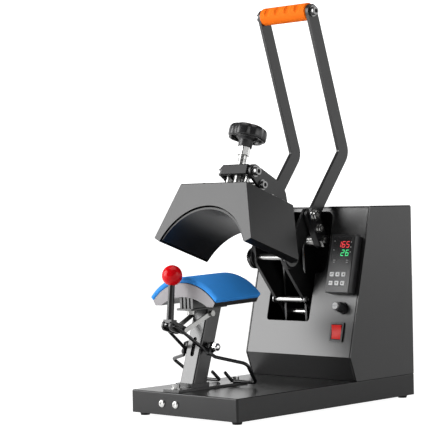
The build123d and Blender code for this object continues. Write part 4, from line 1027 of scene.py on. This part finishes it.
# the outlines on each key, about its middle
KEY_SIGNS = (
    (
        ((-2.4, 0.5), (2.4, 0.5), (2.4, 1.5), (-2.4, 1.5)),
        ((-2.4, -1.5), (0.8, -1.5), (0.8, -0.5), (-2.4, -0.5)),
    ),
    (((-2.2, -1.4), (2.2, -1.4), (0, 1.8)),),
    (((1.8, -1.9), (1.8, 1.9), (-2.0, 0)),),
    (((-2.3, -0.6), (2.3, -0.6), (2.3, 0.6), (-2.3, 0.6)),),
    (((2.2, 1.4), (-2.2, 1.4), (0, -1.8)),),
    (((-1.8, 1.9), (-1.8, -1.9), (2.0, 0)),),
)
# how far prints stand out of their face, and how far they reach into it
FIGURE_RISE, MARK_RISE, SIGN_RISE, PRINT_SUNK = 0.12, 0.4, 0.08, 0.1
# a figure's lean to the right for its height, and its bars' weight for its width
FIGURE_SLANT, FIGURE_WEIGHT = 0.14, 0.16
# lower left corner of a row, a figure's width and height, and the pitch
UPPER_ROW = ((70.6, 176.2), (5.4, 9.4), 8.6)
LOWER_ROW = ((78.8, 162.4), (5.4, 9.2), 9.4)


class CAPPRESS_OT_controls(bpy.types.Operator):
    """Finishes the controller, the fuse holder and the power switch, and makes the figures and marks"""

    bl_idname = "cappress.controls"
    bl_label = "Controls"

    face_out: millimetres("Window face", "Out from the panel", 17.7)

    def reading(self, name, text, row, material):
        """A row of lit figures on the display window."""
        corner, size, pitch = row
        shape = bmesh.new()
        for index, figure in enumerate(text):
            place = panel_place() @ Matrix.Translation((corner[0] + index * pitch, 0, corner[1]))
            for outline in digit_outlines(figure, size, FIGURE_SLANT, size[0] * FIGURE_WEIGHT):
                prism(shape, outline, -self.face_out - FIGURE_RISE, -self.face_out + PRINT_SUNK, place)
        return make_piece(name, closed_mesh(shape), material, "frame")

    def marks(self):
        """Plain printed marks: pale ones beside the figures, and a dark sign on each key."""
        pale = moulded("pale_print", (0.45, 0.45, 0.45), 0.5)
        shape = bmesh.new()
        for x, up, wide, tall in DISPLAY_MARKS:
            corners = ((x, up), (x + wide, up), (x + wide, up + tall), (x, up + tall))
            prism(shape, corners, -self.face_out - MARK_RISE, -self.face_out + PRINT_SUNK, panel_place())
        make_piece("display_marks", closed_mesh(shape), pale, "frame")
        ink = moulded("key_print", (0.03, 0.03, 0.03), 0.5)
        into_panel = panel_place().inverted()
        for number, signs in enumerate(KEY_SIGNS, 1):
            node = f"key_{number}"
            spots = [into_panel @ vertex.co for vertex in NODES[node].data.vertices]
            low, high = (Vector(limit(axis) for axis in zip(*spots)) for limit in (min, max))
            middle = (low + high) / 2
            shape = bmesh.new()
            for sign in signs:
                corners = [(middle.x + x, middle.z + up) for x, up in sign]
                prism(shape, corners, low.y - SIGN_RISE, low.y + PRINT_SUNK, panel_place())
            make_piece(f"{node}_sign", closed_mesh(shape), ink, BODY_OF[node])

    def execute(self, context):
        colours, sizes = context.scene.cap_press_colours, context.scene.cap_press_sizes
        case = moulded("case_plastic", (0.016, 0.016, 0.017), 0.32)
        dress(case, "controller_case", "fuse_holder", "switch_bezel")
        dress(moulded("window_plastic", (0.014, 0.014, 0.015), 0.28), "display_window")
        keys = [f"key_{number + 1}" for number in range(len(KEY_SIGNS))]
        dress(moulded("key_plastic", (0.72, 0.72, 0.72), 0.4), *keys)
        dress(plated("fuse_cap_plate", (0.3, 0.3, 0.3), 0.5), "fuse_cap")
        dress(glossy("rocker_plastic", colours.rocker, 0.2, 0.0), "switch_rocker")
        self.marks()
        red = lamp("upper_light", colours.upper_figures, 1.1)
        green = lamp("lower_light", colours.lower_figures, 1.0)
        self.reading("upper_figures", sizes.upper_reading, UPPER_ROW, red)
        self.reading("lower_figures", sizes.lower_reading, LOWER_ROW, green)
        return {"FINISHED"}


# ---------------- stage
# name, place, the point that it faces and size of each panel of light, in metres
LIGHT_PANELS = (
    ("key", (-1.38, -1.62, 0.95), (0, 0, 0.3), (1.5, 1.95)),
    ("top", (0.1, 0.0, 2.2), (0, 0, 0.2), (1.6, 1.6)),
    ("side", (2.0, 0.4, 0.9), (0, 0, 0.3), (1.0, 1.4)),
)
# level of the sky in the glossy sides of the press
MIRRORED_SKY = 0.12


class CAPPRESS_OT_stage(bpy.types.Operator):
    """Sets up the pale floor and backdrop, the lights and the camera"""

    bl_idname = "cappress.stage"
    bl_label = "Stage"

    def paper(self, name, corners, faces, grain_scale, glow_level, shares):
        """A pale sheet; shares of its glow are seen by the camera and in the glossy sides of the press."""
        mesh = bpy.data.meshes.new(name)
        mesh.from_pydata(corners, [], faces)
        sheet = placed(name, mesh)
        pale = Finish(f"{name}_paper")
        grain = pale.noise(grain_scale, detail=2)
        pale.surface(Base_Color=pale.mix(grain, (0.86, 0.86, 0.86), (0.9, 0.9, 0.9)), Roughness=0.9)
        glow = pale.node("ShaderNodeEmission", {}, {"Color": (1, 1, 1), "Strength": glow_level})
        plain = Value(pale, pale.shader.outputs[0])
        share = pale.ray("Camera") * shares[0] + pale.ray("Glossy") * shares[1]
        mixed = pale.node("ShaderNodeMixShader", {}, {0: share, 1: plain, 2: glow})
        pale.feed(pale.tree.nodes["Material Output"].inputs["Surface"], mixed)
        mesh.materials.append(pale.material)

    def floor(self):
        """A wide floor that shows white to the camera and keeps the press's shadow."""
        side = 12.0
        corners = [(-side, -side, 0), (side, -side, 0), (side, side, 0), (-side, side, 0)]
        self.paper("floor", corners, [(0, 1, 2, 3)], grain_scale=3, glow_level=1.4, shares=(0.7, 0.3))

    def backdrop(self):
        """A white wall round the back, which shows in the glossy sides of the press."""
        steps, radius, height = 48, 5.0, 2.1
        first, sweep = -20, 220
        turns = [math.radians(first + sweep * step / steps) for step in range(steps + 1)]
        low = [(radius * math.cos(turn), radius * math.sin(turn), 0.0) for turn in turns]
        high = [(x, y, height) for x, y, _ in low]
        faces = [(step, step + 1, steps + 2 + step, steps + 1 + step) for step in range(steps)]
        self.paper("backdrop", low + high, faces, grain_scale=2, glow_level=1.5, shares=(1.0, 1.0))

    def lights(self, stage):
        """Three panels of light."""
        for name, place, aim, size in LIGHT_PANELS:
            light = bpy.data.lights.new(f"{name}_panel", "AREA")
            light.shape = "RECTANGLE"
            light.size, light.size_y = size
            light.energy = getattr(stage, f"{name}_level")
            stand = placed(light.name, light)
            stand.location = place
            stand.rotation_euler = (Vector(aim) - Vector(place)).to_track_quat("-Z", "Y").to_euler()

    def execute(self, context):
        scene = context.scene
        stage = scene.cap_press_stage
        self.floor()
        self.backdrop()
        self.lights(stage)

        world = bpy.data.worlds.new("studio")
        world.use_nodes = True
        scene.world = world
        sky = Nodes(world.node_tree)
        plain = sky.ray("Camera") + sky.ray("Transmission")
        level = plain * (1 - stage.sky) + sky.ray("Glossy") * (MIRRORED_SKY - stage.sky) + stage.sky
        back = world.node_tree.nodes["Background"]
        back.inputs["Color"].default_value = (1, 1, 1, 1)
        sky.feed(back.inputs["Strength"], level)

        camera = bpy.data.cameras.new("camera")
        camera.lens = stage.lens
        camera.sensor_width = 36.0
        camera.clip_start, camera.clip_end = 0.05, 60
        stand = placed("camera", camera)
        azimuth, elevation, roll = map(math.radians, (stage.azimuth, stage.elevation, stage.roll))
        level_run = math.cos(elevation)
        ahead = Vector((-math.sin(azimuth) * level_run, math.cos(azimuth) * level_run, -math.sin(elevation)))
        right = ahead.cross(Vector((0, 0, 1))).normalized()
        up = right.cross(ahead)
        rolled_right = right * math.cos(roll) + up * math.sin(roll)
        rolled_up = up * math.cos(roll) - right * math.sin(roll)
        turned = Matrix((rolled_right, rolled_up, -ahead)).transposed().to_4x4()
        stand.matrix_world = Matrix.Translation(stage.stand) @ turned
        scene.camera = stand
        scene.view_settings.view_transform = "Standard"
        return {"FINISHED"}


# ---------------- panel and registration
class CAPPRESS_PT_panel(bpy.types.Panel):
    """Lists the pieces of the press and what may be changed on them"""

    bl_idname = "CAPPRESS_PT_panel"
    bl_label = "Cap press"
    bl_space_type = "VIEW_3D"
    bl_region_type = "UI"
    bl_category = "Cap press"

    def draw(self, context):
        for name, group in GROUPS.items():
            box = self.layout.box()
            for field in group.__annotations__:
                box.prop(getattr(context.scene, name), field)
        for operator in OPERATORS:
            self.layout.operator(operator.bl_idname)


OPERATORS = (
    CAPPRESS_OT_casing, CAPPRESS_OT_linkage, CAPPRESS_OT_fasteners, CAPPRESS_OT_head, CAPPRESS_OT_handle,
    CAPPRESS_OT_platen, CAPPRESS_OT_tension, CAPPRESS_OT_controls, CAPPRESS_OT_stage,
)
GROUPS = {
    "cap_press_colours": CapPressColours, "cap_press_sizes": CapPressSizes, "cap_press_stage": CapPressStage,
}


def register():
    for group in (*GROUPS.values(), *OPERATORS, CAPPRESS_PT_panel):
        bpy.utils.register_class(group)
    for name, group in GROUPS.items():
        setattr(bpy.types.Scene, name, PointerProperty(type=group))


def unregister():
    for name in GROUPS:
        delattr(bpy.types.Scene, name)
    for group in (CAPPRESS_PT_panel, *reversed(OPERATORS), *GROUPS.values()):
        bpy.utils.unregister_class(group)


def main():
    register()
    bpy.ops.cappress.casing()
    bpy.ops.cappress.linkage()
    bpy.ops.cappress.fasteners()
    bpy.ops.cappress.head()
    bpy.ops.cappress.handle()
    bpy.ops.cappress.platen()
    bpy.ops.cappress.tension()
    bpy.ops.cappress.controls()
    bpy.ops.cappress.stage()


if __name__ == "__main__":
    main()
